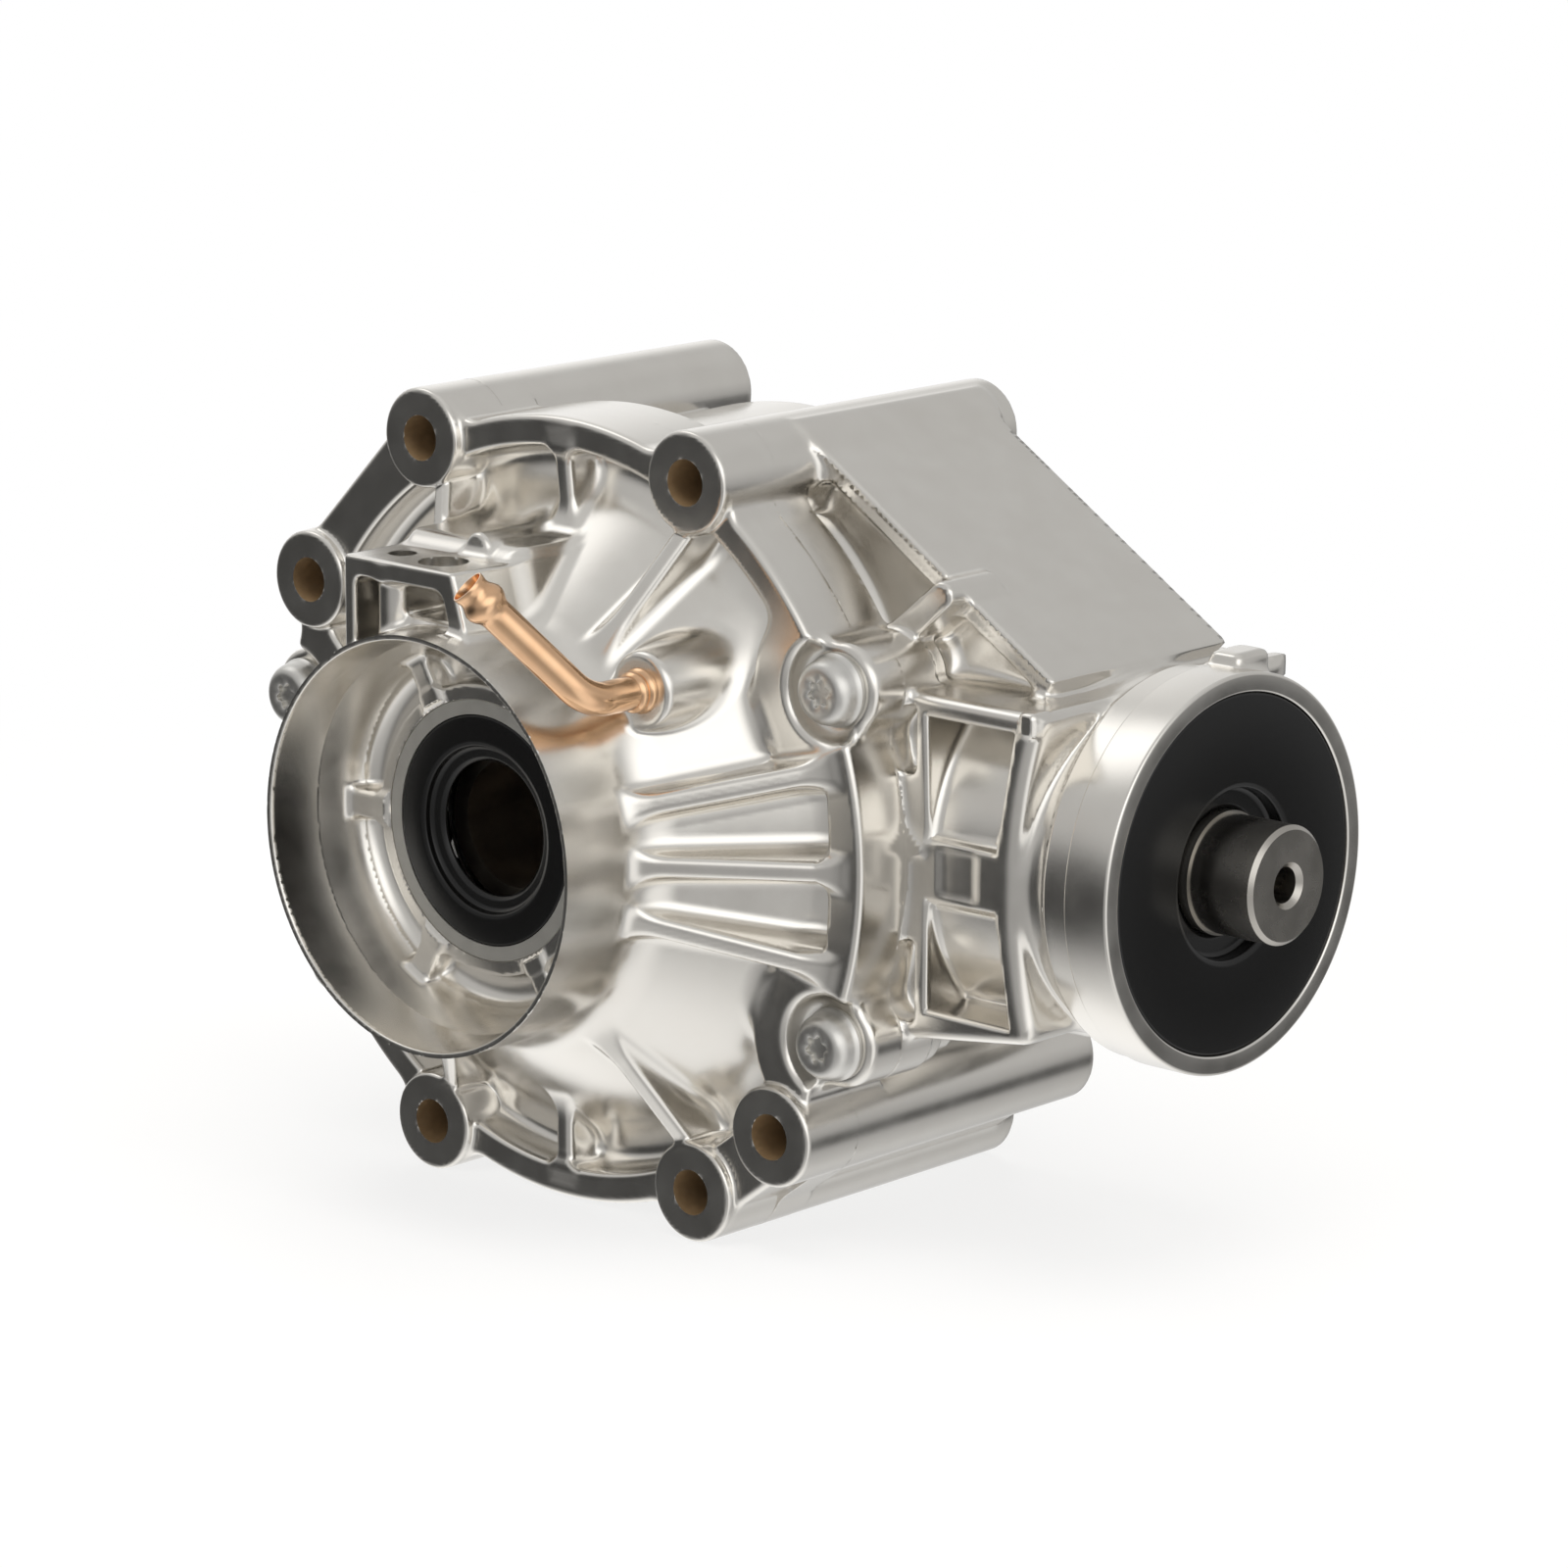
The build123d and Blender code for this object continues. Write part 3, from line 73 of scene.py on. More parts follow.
# Sizes are in millimetres. Bolts and screws sit at (y, z) round the output axis.
BOLTS = ((84.0, 45.4), (44.4, 85.4), (-42.9, 85.4), (-70.0, -65.9), (-44.9, -84.6), (42.3, -84.6))
BOLT_PAIRS = ((BOLTS[0], BOLTS[1]), (BOLTS[3], BOLTS[4]))
BOLT_HOLE_R = 5.5
BOSS_R = 12.15
BOSS_FRONT_X = -64.7
BOSS_BACK_X = 40.0
DOWEL_BOLTS = (BOLTS[1], BOLTS[4])
DOWEL_R = 7.5
DOWEL_DEPTH = 6.0
SCREW_RING_R = 94.2
SCREW_ANGLES = (153.6, -153.6, 9.0, -33.0)
SCREWS = tuple((SCREW_RING_R * cos(radians(a)), SCREW_RING_R * sin(radians(a))) for a in SCREW_ANGLES)
SCREW_HOLE_R = 4.4
TAPPED_HOLE_R = 4.05
TAPPED_END_X = -24.5

# Flange shared by the two castings, with the trough round the dome
PARTING_X = -47.0
FLANGE_FACE_X = -62.2
FLANGE_BACK_X = -36.0
FLANGE_R = 95.5
LAND_INNER_R = 87.9
OUTLINE_DISC_R = 11.2
WEB_HALF = 8.95
EAR_R = 10.9
EAR_FACE_X = -57.5
EAR_POCKET_R = 11.8
# The pocket round a screw is open outwards: it runs on to the screw's place times this number
EAR_OPEN = 1.25
TROUGH_X = -52.7
TROUGH_SCREW_GAP = 22.5
# Where the three ribs stand, at (y, half z), the trough is narrower by the last number
NARROW_TROUGH = (-86.0, 26.0, 3.6)

# Cover: collar, dome and bell, whose wall is given as (x, radius)
COLLAR_R = 50.0
COLLAR_FRONT_X = -111.0
DOME_ROOT_X = -84.0
DOME_SLOPE = 0.96
DOME_WALL = 7.0
CAVITY_R = 78.0
CAVITY_FRONT_X = -76.0
BELL_FLOOR_X = -83.0
BELL_WALL_R = 43.5
BELL_WALL = ((COLLAR_FRONT_X, 48.74), (-97.0, 47.0), (-86.0, BELL_WALL_R))
BELL_RIB_HALF = 3.3
BELL_RIB_FRONT_X = -89.0
BELL_RIB_BACK_X = -80.0
SEAL_BOSS_R = 35.0
SEAL_BOSS_BACK_X = -70.0
FRONT_SEAL_X = -88.0
OUTPUT_SEAL_R = 31.5
OUTPUT_SEAL_T = 8.0
SHOULDER_R = 27.0
BEARING_R = 34.0
FRONT_SEAT_X = (-76.8, -56.5)
FRONT_SEAT_WALL_R = (42.0, 41.0)

# Ribs of the dome: their backs slope along two points (x, radius). A shallow rib has its angle at the rim,
# its angle at the collar, and whether it ends flush with the flange's face.
RIB_HALF = 2.5
RIB_DRAFT = 0.06
STEEP_BACK = ((-88.5, 51.0), (-60.6, 91.2))
STEEP_RIBS = (180.0, 164.5, -164.5)
STEEP_REACH = (50.0, 90.0)
SHALLOW_BACK = ((-77.7, 58.0), (-61.2, 88.9))
SHALLOW_RIBS = ((90.0, 93.5, True), (-90.0, -90.0, True), (119.0, 121.7, False),
                (-119.0, -122.5, False), (62.5, 62.5, False), (-63.4, -63.4, False))
SHALLOW_REACH = (58.0, 89.0)

# Bracket lug: the limits of its plate, whose right side leans by LUG_LEAN along x and z from LUG_CORNER_X;
# where its raised back starts (x) and ends (z), with a round boss (y, z, radius); the front, left and top of
# the pocket under it; the middle leg, the shelf as a box, and the drilled holes (x, y, radius)
LUG_X = (-103.0, -60.0)
LUG_Y = (-5.0, 31.0)
LUG_Z = (40.0, 64.3)
LUG_LEAN = (0.10, 0.30)
LUG_CORNER_X = -102.6
LUG_STEP = (-84.0, 67.6)
LUG_BOSS = (6.0, 66.4, 3.6)
LUG_BOSS_BACK_X = -58.0
LUG_POCKET = (-85.5, 27.5, 59.6)
LUG_WALL = 5.0
LUG_LEG = ((-86.0, 18.5), (-97.5, 18.5))
LUG_LEG_HALF = 4.5
LUG_LEG_Z = (45.0, 62.0)
LUG_SHELF = (-99.0, -80.0, -6.0, 14.0, 45.0, 51.5)
LUG_HOLES = ((-92.8, 21.5, 3.4), (-93.4, 7.3, 6.0))
LUG_HOLE_Z = 52.0

# Breather: its place (y, z), and the boss that it is pressed into
BREATHER = (-45.0, 39.5)
BREATHER_FACE_X = -82.0
BREATHER_BOSS_R = 9.0
BREATHER_BOSS_SLOPE = 0.16
BREATHER_BORE_R = 4.0

# Barrel, rear cone and rear hub of the main housing; turned outlines are (x, radius)
BARREL_R = 88.0
BARREL_BACK_X = 22.0
BARREL_WALL = 8.0
CHAMBER_CHAMFER = 12
REAR_CONE = [(PARTING_X, -60.0), (PARTING_X, 84.0), (BARREL_BACK_X, BARREL_R - 1),
             (30.0, 79.0), (41.0, 50.0), (43.0, -60.0)]
REAR_RIB = [(20.0, 30.0), (20.0, 84.0), (31.0, 82.0), (51.0, 46.0), (51.0, 30.0)]
REAR_RIB_ANGLES = (22.5, 67.5, 112.5, 157.5)
REAR_HUB_R = 45.0
REAR_HUB_X = 63.0
REAR_SEAT_X = (33.0, 52.8)

# Webs, fins and round bosses behind the flange; a screw boss is (radius, x of its end)
WEB_BACK_X = 34.0
FIN_HALF = 4.5
FIN_BACK_X = 36.0
FIN_ROOT_R = 60.0
FIN_GAP = 4.0
SCREW_BOSSES = ((10.2, -31.0), (8.4, -24.0))
PLUG_SPOTS = ((66.0, 0.0), (0.0, -66.0))
PLUG_BOSS_R = 15.0
PLUG_HOLE_R = 9.05
PLUG_BACK_X = 12.0
PLUG_FACE_X = 41.0

# Pinion neck and nose; the bores are (radius, y)
NECK_TAPER = ((-131.0, 43.6), (-88.0, 45.5))
NECK_FRONT_Y = -134.0
NECK_BACK_Y = -60.0
NECK_BORES = [(0.0, -43.0), (36.0, -43.0), (36.0, -102.8), (28.0, -102.8), (28.0, -118.0),
              (31.0, -118.0), (31.0, -138.0), (32.0, -138.0)]
NOSE_R = 47.0
NOSE_FRONT_Y = -155.2
NOSE_BACK_Y = -136.0
NOSE_STEP = 0.8
NOSE_STEP_Y = -142.9
NOSE_LUG = (6.0, 18.0, -150.0, -141.0, 42.0, 49.6)
PINION_SEAL_R = 42.35
PINION_SEAL_DEPTH = 9.35
SEAL_SEAT_GAP = 0.4

# Side frame, the same at either side. Its front is bowed, its low edge slopes; pockets are outlines in
# (y, z), recesses and the block at the end of its ledge boxes (x0, x1, y0, y1, z0, z1).
SIDE_X = 46.0
SIDE_HALF_Z = 41.0
SIDE_Y = (-128.3, -84.0)
SIDE_BOW = 6.5
SIDE_BOW_Z = 40.0
SIDE_LOW_SLOPE = 0.14
SIDE_LOW_Y = -97.0
POCKET_FLOOR_X = 24.0
POCKETS = ([(-102.0, 7.5), (-121.5, 7.5), (-126.5, 36.0), (-101.0, 36.0)],
           [(-101.5, -7.0), (-121.5, -7.0), (-126.0, -33.0), (-101.5, -33.0)])
PAD_CUTS = ((45.2, 60.0, -116.5, -104.5, -5.6, 6.4), (40.5, 60.0, -97.6, -89.5, 22.0, 38.5),
            (40.5, 60.0, -97.6, -89.5, -37.0, -17.0))
LEDGE_BLOCK = (40.0, 46.6, -132.8, -129.0, 36.0, 41.4)

# Inclined plate, from its top to its end in (y, z), the wall under it, and the block beside it
PLATE_X = (-31.0, 31.5)
PLATE_TOP = (-53.5, 91.0)
PLATE_END = (-125.4, 45.4)
PLATE_T = 5.0
WALL_INSET = 8.0
WALL_INSET_DEPTH = 5.0
WALL_FLARE = 0.010
WALL_FOOT_Z = 5.0
PLATE_BLOCK = ((-84.5, 51.4), (-97.7, 62.4))
PLATE_BLOCK_HALF = 3.4
PLATE_BLOCK_X = (-38.0, -20.0)

# Cover screw: one half of its section as (radius, height behind the head's seat, wave of the six lobes)
SCREW_SECTION = ((3.0, 30.0, 0.0), (4.0, 30.0, 0.0), (4.0, 0.02, 0.0), (8.4, 0.02, 0.0), (8.65, -0.4, 0.0),
                 (8.65, -1.5, 0.0), (8.2, -2.1, 0.0), (7.95, -2.9, 0.0), (7.8, -4.3, 0.0),
                 (7.45, -5.5, 0.0), (6.8, -6.5, 0.0), (6.0, -7.05, 0.0), (5.2, -7.2, 0.0),
                 (3.3, -7.2, 0.4), (2.85, -7.0, 0.5), (2.75, -6.1, 0.5), (1.2, -6.0, 0.1), (0.01, -6.0, 0.0))

# Breather tube: its line, its radii, the collars at its root as (distance from its start, radius) and its
# barbed mouth as (distance from its end, radius)
TUBE_START_DEPTH = 8.0
TUBE_CORNER_X = -99.0
TUBE_END = (-121.0, -28.5, 67.2)
TUBE_BEND_R = 11.0
TUBE_R = 3.98
TUBE_BORE_R = 3.0
TUBE_ROOT = ((0.0, 3.95), (7.0, 3.95), (7.4, 5.2), (8.1, 5.5), (8.8, 5.2), (9.2, 4.5), (9.7, 4.7),
             (10.4, 4.9), (11.1, 4.7), (11.6, 4.02), (12.4, 3.98))
TUBE_MOUTH = ((8.8, 4.05), (8.0, 4.35), (7.0, 4.95), (5.9, 5.3), (4.9, 5.25), (3.8, 4.75), (2.9, 4.25),
              (2.0, 4.1), (1.0, 4.3), (0.3, 4.35), (0.0, 4.25), (0.0, 3.95), (1.2, 3.75), (3.0, 3.45),
              (6.0, 3.1))

# Camera's place in metres and its roll in degrees; the floor's share of plain white near the unit, and the
# distances in metres between which that share grows to all of it
CAMERA_PLACE = (-1.0421, -0.9634, 0.3283)
CAMERA_ROLL = 0.271
FLOOR_WHITE = 0.75
FLOOR_FADE = (0.25, 0.60)

# The studio in reflections: its radius in metres, and its grey at angles above the horizon
STUDIO_R = 4.0
STUDIO_TONES = ((-90.0, 1.10), (-68.0, 1.05), (-55.0, 0.85), (-42.0, 0.58), (-28.0, 0.46), (-12.0, 0.38),
                (0.0, 0.48), (12.0, 0.58), (38.0, 0.57), (60.0, 0.66), (90.0, 0.74))
# Soft boxes and dark flags: angle from -Y to +X, angle above the horizon, half width, half height, grey
STUDIO_PANELS = ((-10.0, -20.0, 24.0, 42.0, 1.05), (-27.0, 26.0, 44.0, 24.0, 1.60),
                 (-165.0, 52.0, 26.0, 18.0, 1.60), (146.0, -4.0, 26.0, 52.0, 1.10),
                 (160.0, -55.0, 40.0, 18.0, 1.20), (-138.0, -12.0, 40.0, 23.0, 0.06),
                 (52.0, -17.0, 15.0, 9.0, 0.08))

# Lamps: place, diameter and power; the studio's soft boxes stand for them in reflections
LAMPS = (("lamp_top", (-0.2, -0.3, 1.5), 1.4, 16.0), ("lamp_left", (-1.6, 0.3, 0.7), 0.9, 8.0),
         ("lamp_right", (0.6, -1.7, 0.6), 0.9, 8.0), ("lamp_back", (1.2, 1.2, 1.0), 0.8, 6.0))


def smooth_min(a, b, k):
    """Union of two fields: the lesser one, less a parabola k wide where the two are near each other."""
    share = np.clip(0.5 + 0.5 * (b - a) / k, 0.0, 1.0)
    return b + (a - b) * share - k * share * (1.0 - share)


def smooth_max(a, b, k):
    """Common part of two fields, its edge rounded over a width k."""
    return -smooth_min(-a, -b, k)


def between(value, low, high):
    """Field of the slab low < value < high: how far a value is past the nearer of the two."""
    return np.maximum(low - value, value - high)


def brick(x, y, z, box, k):
    """Field of a box given as (x0, x1, y0, y1, z0, z1), edges rounded over a width k."""
    shape = smooth_max(between(x, box[0], box[1]), between(y, box[2], box[3]), k)
    return smooth_max(shape, between(z, box[4], box[5]), k)


def nearest(u, v, spots):
    """Distance in a plane from points (u, v) to the nearest of several spots."""
    return np.min([np.hypot(u - su, v - sv) for su, sv in spots], axis=0)


def capsule(u, v, start, end):
    """Distance in a plane from points (u, v) to the straight line from start to end."""
    du, dv = end[0] - start[0], end[1] - start[1]
    share = np.clip(((u - start[0]) * du + (v - start[1]) * dv) / (du * du + dv * dv), 0.0, 1.0)
    return np.hypot(u - start[0] - share * du, v - start[1] - share * dv)


def outline_field(u, v, points):
    """Signed distance to a closed outline: to its nearest side, the sign by counting crossings."""
    nearest_side = np.full(u.shape, 1e9, u.dtype)
    inside = np.zeros(u.shape, bool)
    for a, b in zip(points, points[1:] + points[:1]):
        nearest_side = np.minimum(nearest_side, capsule(u, v, a, b))
        if a[1] != b[1]:
            crossing = a[0] + (v - a[1]) / (b[1] - a[1]) * (b[0] - a[0])
            inside ^= ((a[1] > v) != (b[1] > v)) & (u < crossing)
    return np.where(inside, -nearest_side, nearest_side)


def flange_outline(y, z):
    """Field of the flange in (y, z): a disc, six bosses, four screw ears and straight webs, blended."""
    shape = np.hypot(y, z) - FLANGE_R
    for by, bz in BOLTS:
        shape = smooth_min(shape, np.hypot(y - by, z - bz) - OUTLINE_DISC_R, 7.0)
    for start, end in BOLT_PAIRS:
        shape = smooth_min(shape, capsule(y, z, start, end) - WEB_HALF, 3.0)
    return smooth_min(shape, nearest(y, z, SCREWS) - EAR_R, 4.0)


def polar(radius, angle):
    """Point (y, z) at a radius and an angle in degrees from +Y."""
    return radius * cos(radians(angle)), radius * sin(radians(angle))


def dome_rib(x, y, z, foot, head, crest, flush):
    """Rib on the dome along the line foot to head in (y, z), its back sloping along crest."""
    length = hypot(head[0] - foot[0], head[1] - foot[1])
    c, s = (head[0] - foot[0]) / length, (head[1] - foot[1]) / length
    across = (z - foot[1]) * c - (y - foot[0]) * s
    along = y * c + z * s
    (x0, r0), (x1, r1) = crest
    slope = hypot(x1 - x0, r1 - r0)
    above = ((along - r0) * (x1 - x0) - (x - x0) * (r1 - r0)) / slope
    if flush:
        above = smooth_max(above, FLANGE_FACE_X - x, 2.0)
    sides = np.abs(across) - RIB_HALF + RIB_DRAFT * np.minimum(above, 0.0)
    rib = smooth_max(sides, above, 2.0)
    rib = smooth_max(rib, x0 - 1.0 - x, 3.0)
    return smooth_max(rib, between(along, r0 - 8.0, LAND_INNER_R + 2.0), 1.0)


def cover_ribs(x, y, z, shape):
    """Adds the three ribs at the pinion side and the longer ribs above and below to the dome."""
    for angle in STEEP_RIBS:
        foot, head = (polar(radius, angle) for radius in STEEP_REACH)
        rib = dome_rib(x, y, z, foot, head, STEEP_BACK, False)
        shape = smooth_min(shape, rib, 4.0)
    for outer, inner, flush in SHALLOW_RIBS:
        foot, head = polar(SHALLOW_REACH[0], inner), polar(SHALLOW_REACH[1], outer)
        rib = dome_rib(x, y, z, foot, head, SHALLOW_BACK, flush)
        shape = smooth_min(shape, rib, 4.0)
    return shape


def cover_lug(x, y, z, shape):
    """Adds the drilled bracket lug on the collar: a flat plate, a raised back with a boss, two legs."""
    lean = y - LUG_Y[0] + LUG_LEAN[1] * (LUG_Z[1] - z) + LUG_LEAN[0] * (x - LUG_CORNER_X)
    right = -lean / 1.05
    block = smooth_max(smooth_max(right, y - LUG_Y[1], 2.0), between(x, *LUG_X), 1.2)
    front = smooth_max(block, z - LUG_Z[1], 0.8)
    step = LUG_STEP[0] - x
    back = smooth_max(smooth_max(block, z - LUG_STEP[1], 1.5), step, 6.0)
    boss = np.hypot(y - LUG_BOSS[0], z - LUG_BOSS[1]) - LUG_BOSS[2]
    boss = smooth_max(smooth_max(boss, step, 1.5), x - LUG_BOSS_BACK_X, 1.0)
    lug = smooth_min(front, smooth_min(back, boss, 2.0), 3.0)
    lug = smooth_max(lug, LUG_Z[0] - z, 1.0)
    pocket = smooth_max(-(lean - LUG_WALL) / 1.05, y - LUG_POCKET[1], 3.0)
    pocket = smooth_max(smooth_max(pocket, z - LUG_POCKET[2], 3.0), x - LUG_POCKET[0], 3.0)
    lug = smooth_max(lug, -pocket, 1.0)
    leg = smooth_max(capsule(x, y, *LUG_LEG) - LUG_LEG_HALF, z - LUG_LEG_Z[1], 1.0)
    lug = smooth_min(lug, smooth_max(leg, LUG_LEG_Z[0] - z, 1.0), 2.5)
    shelf = smooth_max(brick(x, y, z, LUG_SHELF, 1.5), right, 1.0)
    return smooth_min(shape, smooth_min(lug, shelf, 2.0), 3.0)


def cover_bell(x, y, z, r, shape):
    """Cuts the open bell out of the collar and adds the seal boss and its six ribs."""
    wall = np.interp(x, *zip(*BELL_WALL)).astype(r.dtype)
    shape = np.maximum(shape, COLLAR_FRONT_X - x)
    bell = smooth_max(r - wall, x - BELL_FLOOR_X, 6.0)
    shape = smooth_max(shape, -bell, 0.5)
    boss = smooth_max(r - SEAL_BOSS_R, FRONT_SEAL_X - x, 0.8)
    shape = smooth_min(shape, np.maximum(boss, x - SEAL_BOSS_BACK_X), 2.5)
    for angle in (0.0, 60.0, 120.0):
        c, s = polar(1.0, angle)
        rib = smooth_max(np.abs(z * c - y * s) - BELL_RIB_HALF, BELL_RIB_FRONT_X - x, 1.6)
        rib = np.maximum(np.maximum(rib, r - BELL_WALL_R - 3.0), x - BELL_RIB_BACK_X)
        rib = np.maximum(rib, OUTPUT_SEAL_R + 1.5 - r)
        shape = smooth_min(shape, rib, 2.4)
    return shape


def dome_radius(x):
    """Radius of the dome's cone at a place along X."""
    return COLLAR_R + DOME_SLOPE * (x - DOME_ROOT_X)


def cover_inside(x, r):
    """Field of everything turned out of the cover behind the bell: seal bore, bearing seat and dome."""
    wall = DOME_WALL * hypot(1, DOME_SLOPE)
    seal_floor = FRONT_SEAL_X + OUTPUT_SEAL_T
    points = [(PARTING_X + 2, 0.0), (PARTING_X + 2, CAVITY_R), (PARTING_X, CAVITY_R),
              (PARTING_X - 5, dome_radius(PARTING_X - 5) - wall),
              (CAVITY_FRONT_X, dome_radius(CAVITY_FRONT_X) - wall), (CAVITY_FRONT_X, FRONT_SEAT_WALL_R[0]),
              (FRONT_SEAT_X[1], FRONT_SEAT_WALL_R[1]), (FRONT_SEAT_X[1], BEARING_R),
              (FRONT_SEAT_X[0], BEARING_R), (FRONT_SEAT_X[0], SHOULDER_R), (seal_floor, SHOULDER_R),
              (seal_floor, OUTPUT_SEAL_R), (FRONT_SEAL_X - 2, OUTPUT_SEAL_R), (FRONT_SEAL_X - 2, 0.0)]
    return outline_field(x, r, points)


def cover_field(x, y, z):
    """Field of the cast cover: collar, dome, flange with its trough, ribs, lug, bosses, bell and bores."""
    r = np.hypot(y, z)
    shape = smooth_min(r - COLLAR_R, (r - dome_radius(x)) / hypot(1, DOME_SLOPE), 5.0)
    plate = smooth_max(flange_outline(y, z), FLANGE_FACE_X - x, 1.8)
    rib_y, rib_half_z, narrower = NARROW_TROUGH
    by_ribs = np.clip((rib_y - y) / 2.0 + 1.0, 0.0, 1.0) * (np.abs(z) < rib_half_z)
    trough = smooth_max(r - (LAND_INNER_R - narrower * by_ribs), x - TROUGH_X, 5.0)
    trough = smooth_max(trough, TROUGH_SCREW_GAP - nearest(y, z, SCREWS), 5.0)
    shape = smooth_min(shape, smooth_max(plate, -trough, 1.8), 4.0)
    shape = cover_ribs(x, y, z, shape)
    shape = cover_lug(x, y, z, shape)
    nozzle = np.hypot(y - BREATHER[0], z - BREATHER[1])
    boss = (nozzle - BREATHER_BOSS_R - BREATHER_BOSS_SLOPE * (x - BREATHER_FACE_X)) / 1.01
    shape = smooth_min(shape, smooth_max(boss, BREATHER_FACE_X - x, 1.6), 2.2)
    bolt = nearest(y, z, BOLTS)
    shape = smooth_min(shape, smooth_max(bolt - BOSS_R, BOSS_FRONT_X - x, 1.2), 1.2)
    for ey, ez in SCREWS:
        pocket = capsule(y, z, (ey, ez), (EAR_OPEN * ey, EAR_OPEN * ez)) - EAR_POCKET_R
        pocket = smooth_max(pocket, x - EAR_FACE_X, 4.5)
        shape = smooth_max(shape, -pocket, 2.6)
    shape = cover_bell(x, y, z, r, shape)
    shape = np.maximum(shape, x - PARTING_X)
    shape = np.maximum(shape, -cover_inside(x, r))
    shape = np.maximum(shape, BREATHER_BORE_R - nozzle)
    shape = np.maximum(shape, BOLT_HOLE_R - bolt)
    shape = np.maximum(shape, SCREW_HOLE_R - nearest(y, z, SCREWS))
    for hx, hy, hole_r in LUG_HOLES:
        shape = np.maximum(shape, -np.maximum(np.hypot(x - hx, y - hy) - hole_r, LUG_HOLE_Z - z))
    dowel = nearest(y, z, DOWEL_BOLTS) - DOWEL_R
    return np.maximum(shape, -np.maximum(dowel, PARTING_X - DOWEL_DEPTH - x))


def barrel_field(x, r):
    """Field of the barrel, the rear cone and the rear hub, all turned about the output axis."""
    barrel = smooth_max(r - BARREL_R, between(x, PARTING_X, BARREL_BACK_X + 1), 3.0)
    cone = outline_field(x, r, REAR_CONE) - 0.8
    shape = smooth_min(barrel, cone, 3.0)
    hub = smooth_max(r - REAR_HUB_R, x - REAR_HUB_X, 1.2)
    return smooth_min(shape, np.maximum(hub, -x), 7.0)


def barrel_inside(x, r):
    """Field of the gear chamber, rear bearing seat and rear seal bore."""
    inner = BARREL_R - BARREL_WALL
    seal_floor = REAR_HUB_X - OUTPUT_SEAL_T
    points = [(PARTING_X - 2, 0.0), (PARTING_X - 2, inner), (BARREL_BACK_X - CHAMBER_CHAMFER, inner),
              (BARREL_BACK_X, inner - CHAMBER_CHAMFER), (REAR_SEAT_X[0] - 4, REAR_HUB_R - 1),
              (REAR_SEAT_X[0], BEARING_R + 4), (REAR_SEAT_X[0], BEARING_R), (REAR_SEAT_X[1], BEARING_R),
              (REAR_SEAT_X[1], SHOULDER_R), (seal_floor, SHOULDER_R), (seal_floor, OUTPUT_SEAL_R),
              (REAR_HUB_X + 2, OUTPUT_SEAL_R), (REAR_HUB_X + 2, 0.0)]
    return outline_field(x, r, points)


def neck_inside(y, r):
    """Field of the bores of the pinion neck, from the gear chamber to the seal pocket."""
    floor, wall, front = NOSE_FRONT_Y + PINION_SEAL_DEPTH, PINION_SEAL_R + SEAL_SEAT_GAP, NOSE_FRONT_Y - 2
    pocket = [(NECK_BORES[-1][0], floor), (wall, floor), (wall, front), (0.0, front)]
    return outline_field(r, y, NECK_BORES + pocket)


def neck_field(x, y, z):
    """Field of the round neck and the core of its nose ring, with a groove behind the ring."""
    r = np.hypot(x, z)
    neck = np.maximum(r - np.interp(y, *zip(*NECK_TAPER)).astype(r.dtype), NECK_FRONT_Y - y)
    ring = smooth_max(r - (NOSE_R - NOSE_STEP), between(y, NOSE_FRONT_Y + 0.6, NOSE_BACK_Y), 1.6)
    return smooth_min(neck, ring, 4.0)


def side_frame(x, y, z):
    """Field of the flat-sided frame round the neck with two ribbed pockets in each side."""
    across = np.abs(x)
    front = SIDE_Y[0] - SIDE_BOW * (z / SIDE_BOW_Z) ** 2
    low_edge = (-z - SIDE_HALF_Z - SIDE_LOW_SLOPE * (y - SIDE_LOW_Y)) / 1.01
    box = smooth_max(across - SIDE_X, smooth_max(z - SIDE_HALF_Z, low_edge, 3.0), 3.0)
    box = smooth_max(smooth_max(box, front - y, 4.5), y - SIDE_Y[1], 1.0)
    for outline in POCKETS:
        pocket = smooth_max(outline_field(y, z, outline), POCKET_FLOOR_X - across, 5.0)
        box = smooth_max(box, -pocket, 1.6)
    for cut in PAD_CUTS:
        box = smooth_max(box, -brick(across, y, z, cut, 2.4), 1.2)
    return smooth_min(box, brick(across, y, z, LEDGE_BLOCK, 0.8), 0.8)


def housing_plate(x, y, z):
    """Field of the inclined plate and the concave wall that carries it.

    The wall steps in by inset * (1 - e^(-depth / run)) below the plate and flares out again with the
    square of the depth.
    """
    fall_y, fall_z = PLATE_TOP[0] - PLATE_END[0], PLATE_TOP[1] - PLATE_END[1]
    run = hypot(fall_y, fall_z)
    along = ((PLATE_TOP[0] - y) * fall_y + (PLATE_TOP[1] - z) * fall_z) / run
    above = ((z - PLATE_TOP[1]) * fall_y - (y - PLATE_TOP[0]) * fall_z) / run
    sheet = smooth_max(between(x, *PLATE_X), between(above, -PLATE_T, 0.0), 1.6)
    sheet = smooth_max(sheet, between(along, -6.0, run), 0.8)
    depth = np.clip(-above, 0.0, 60.0)
    inset = WALL_INSET * (1.0 - np.exp(-depth / WALL_INSET_DEPTH)) - WALL_FLARE * depth * depth
    wall = between(x, PLATE_X[0] + inset, PLATE_X[1] - np.maximum(inset, 0.0)) * 0.9
    wall = smooth_max(smooth_max(wall, above, 0.8), between(along, -4.0, run), 2.0)
    return smooth_min(sheet, np.maximum(wall, WALL_FOOT_Z - z), 3.0)


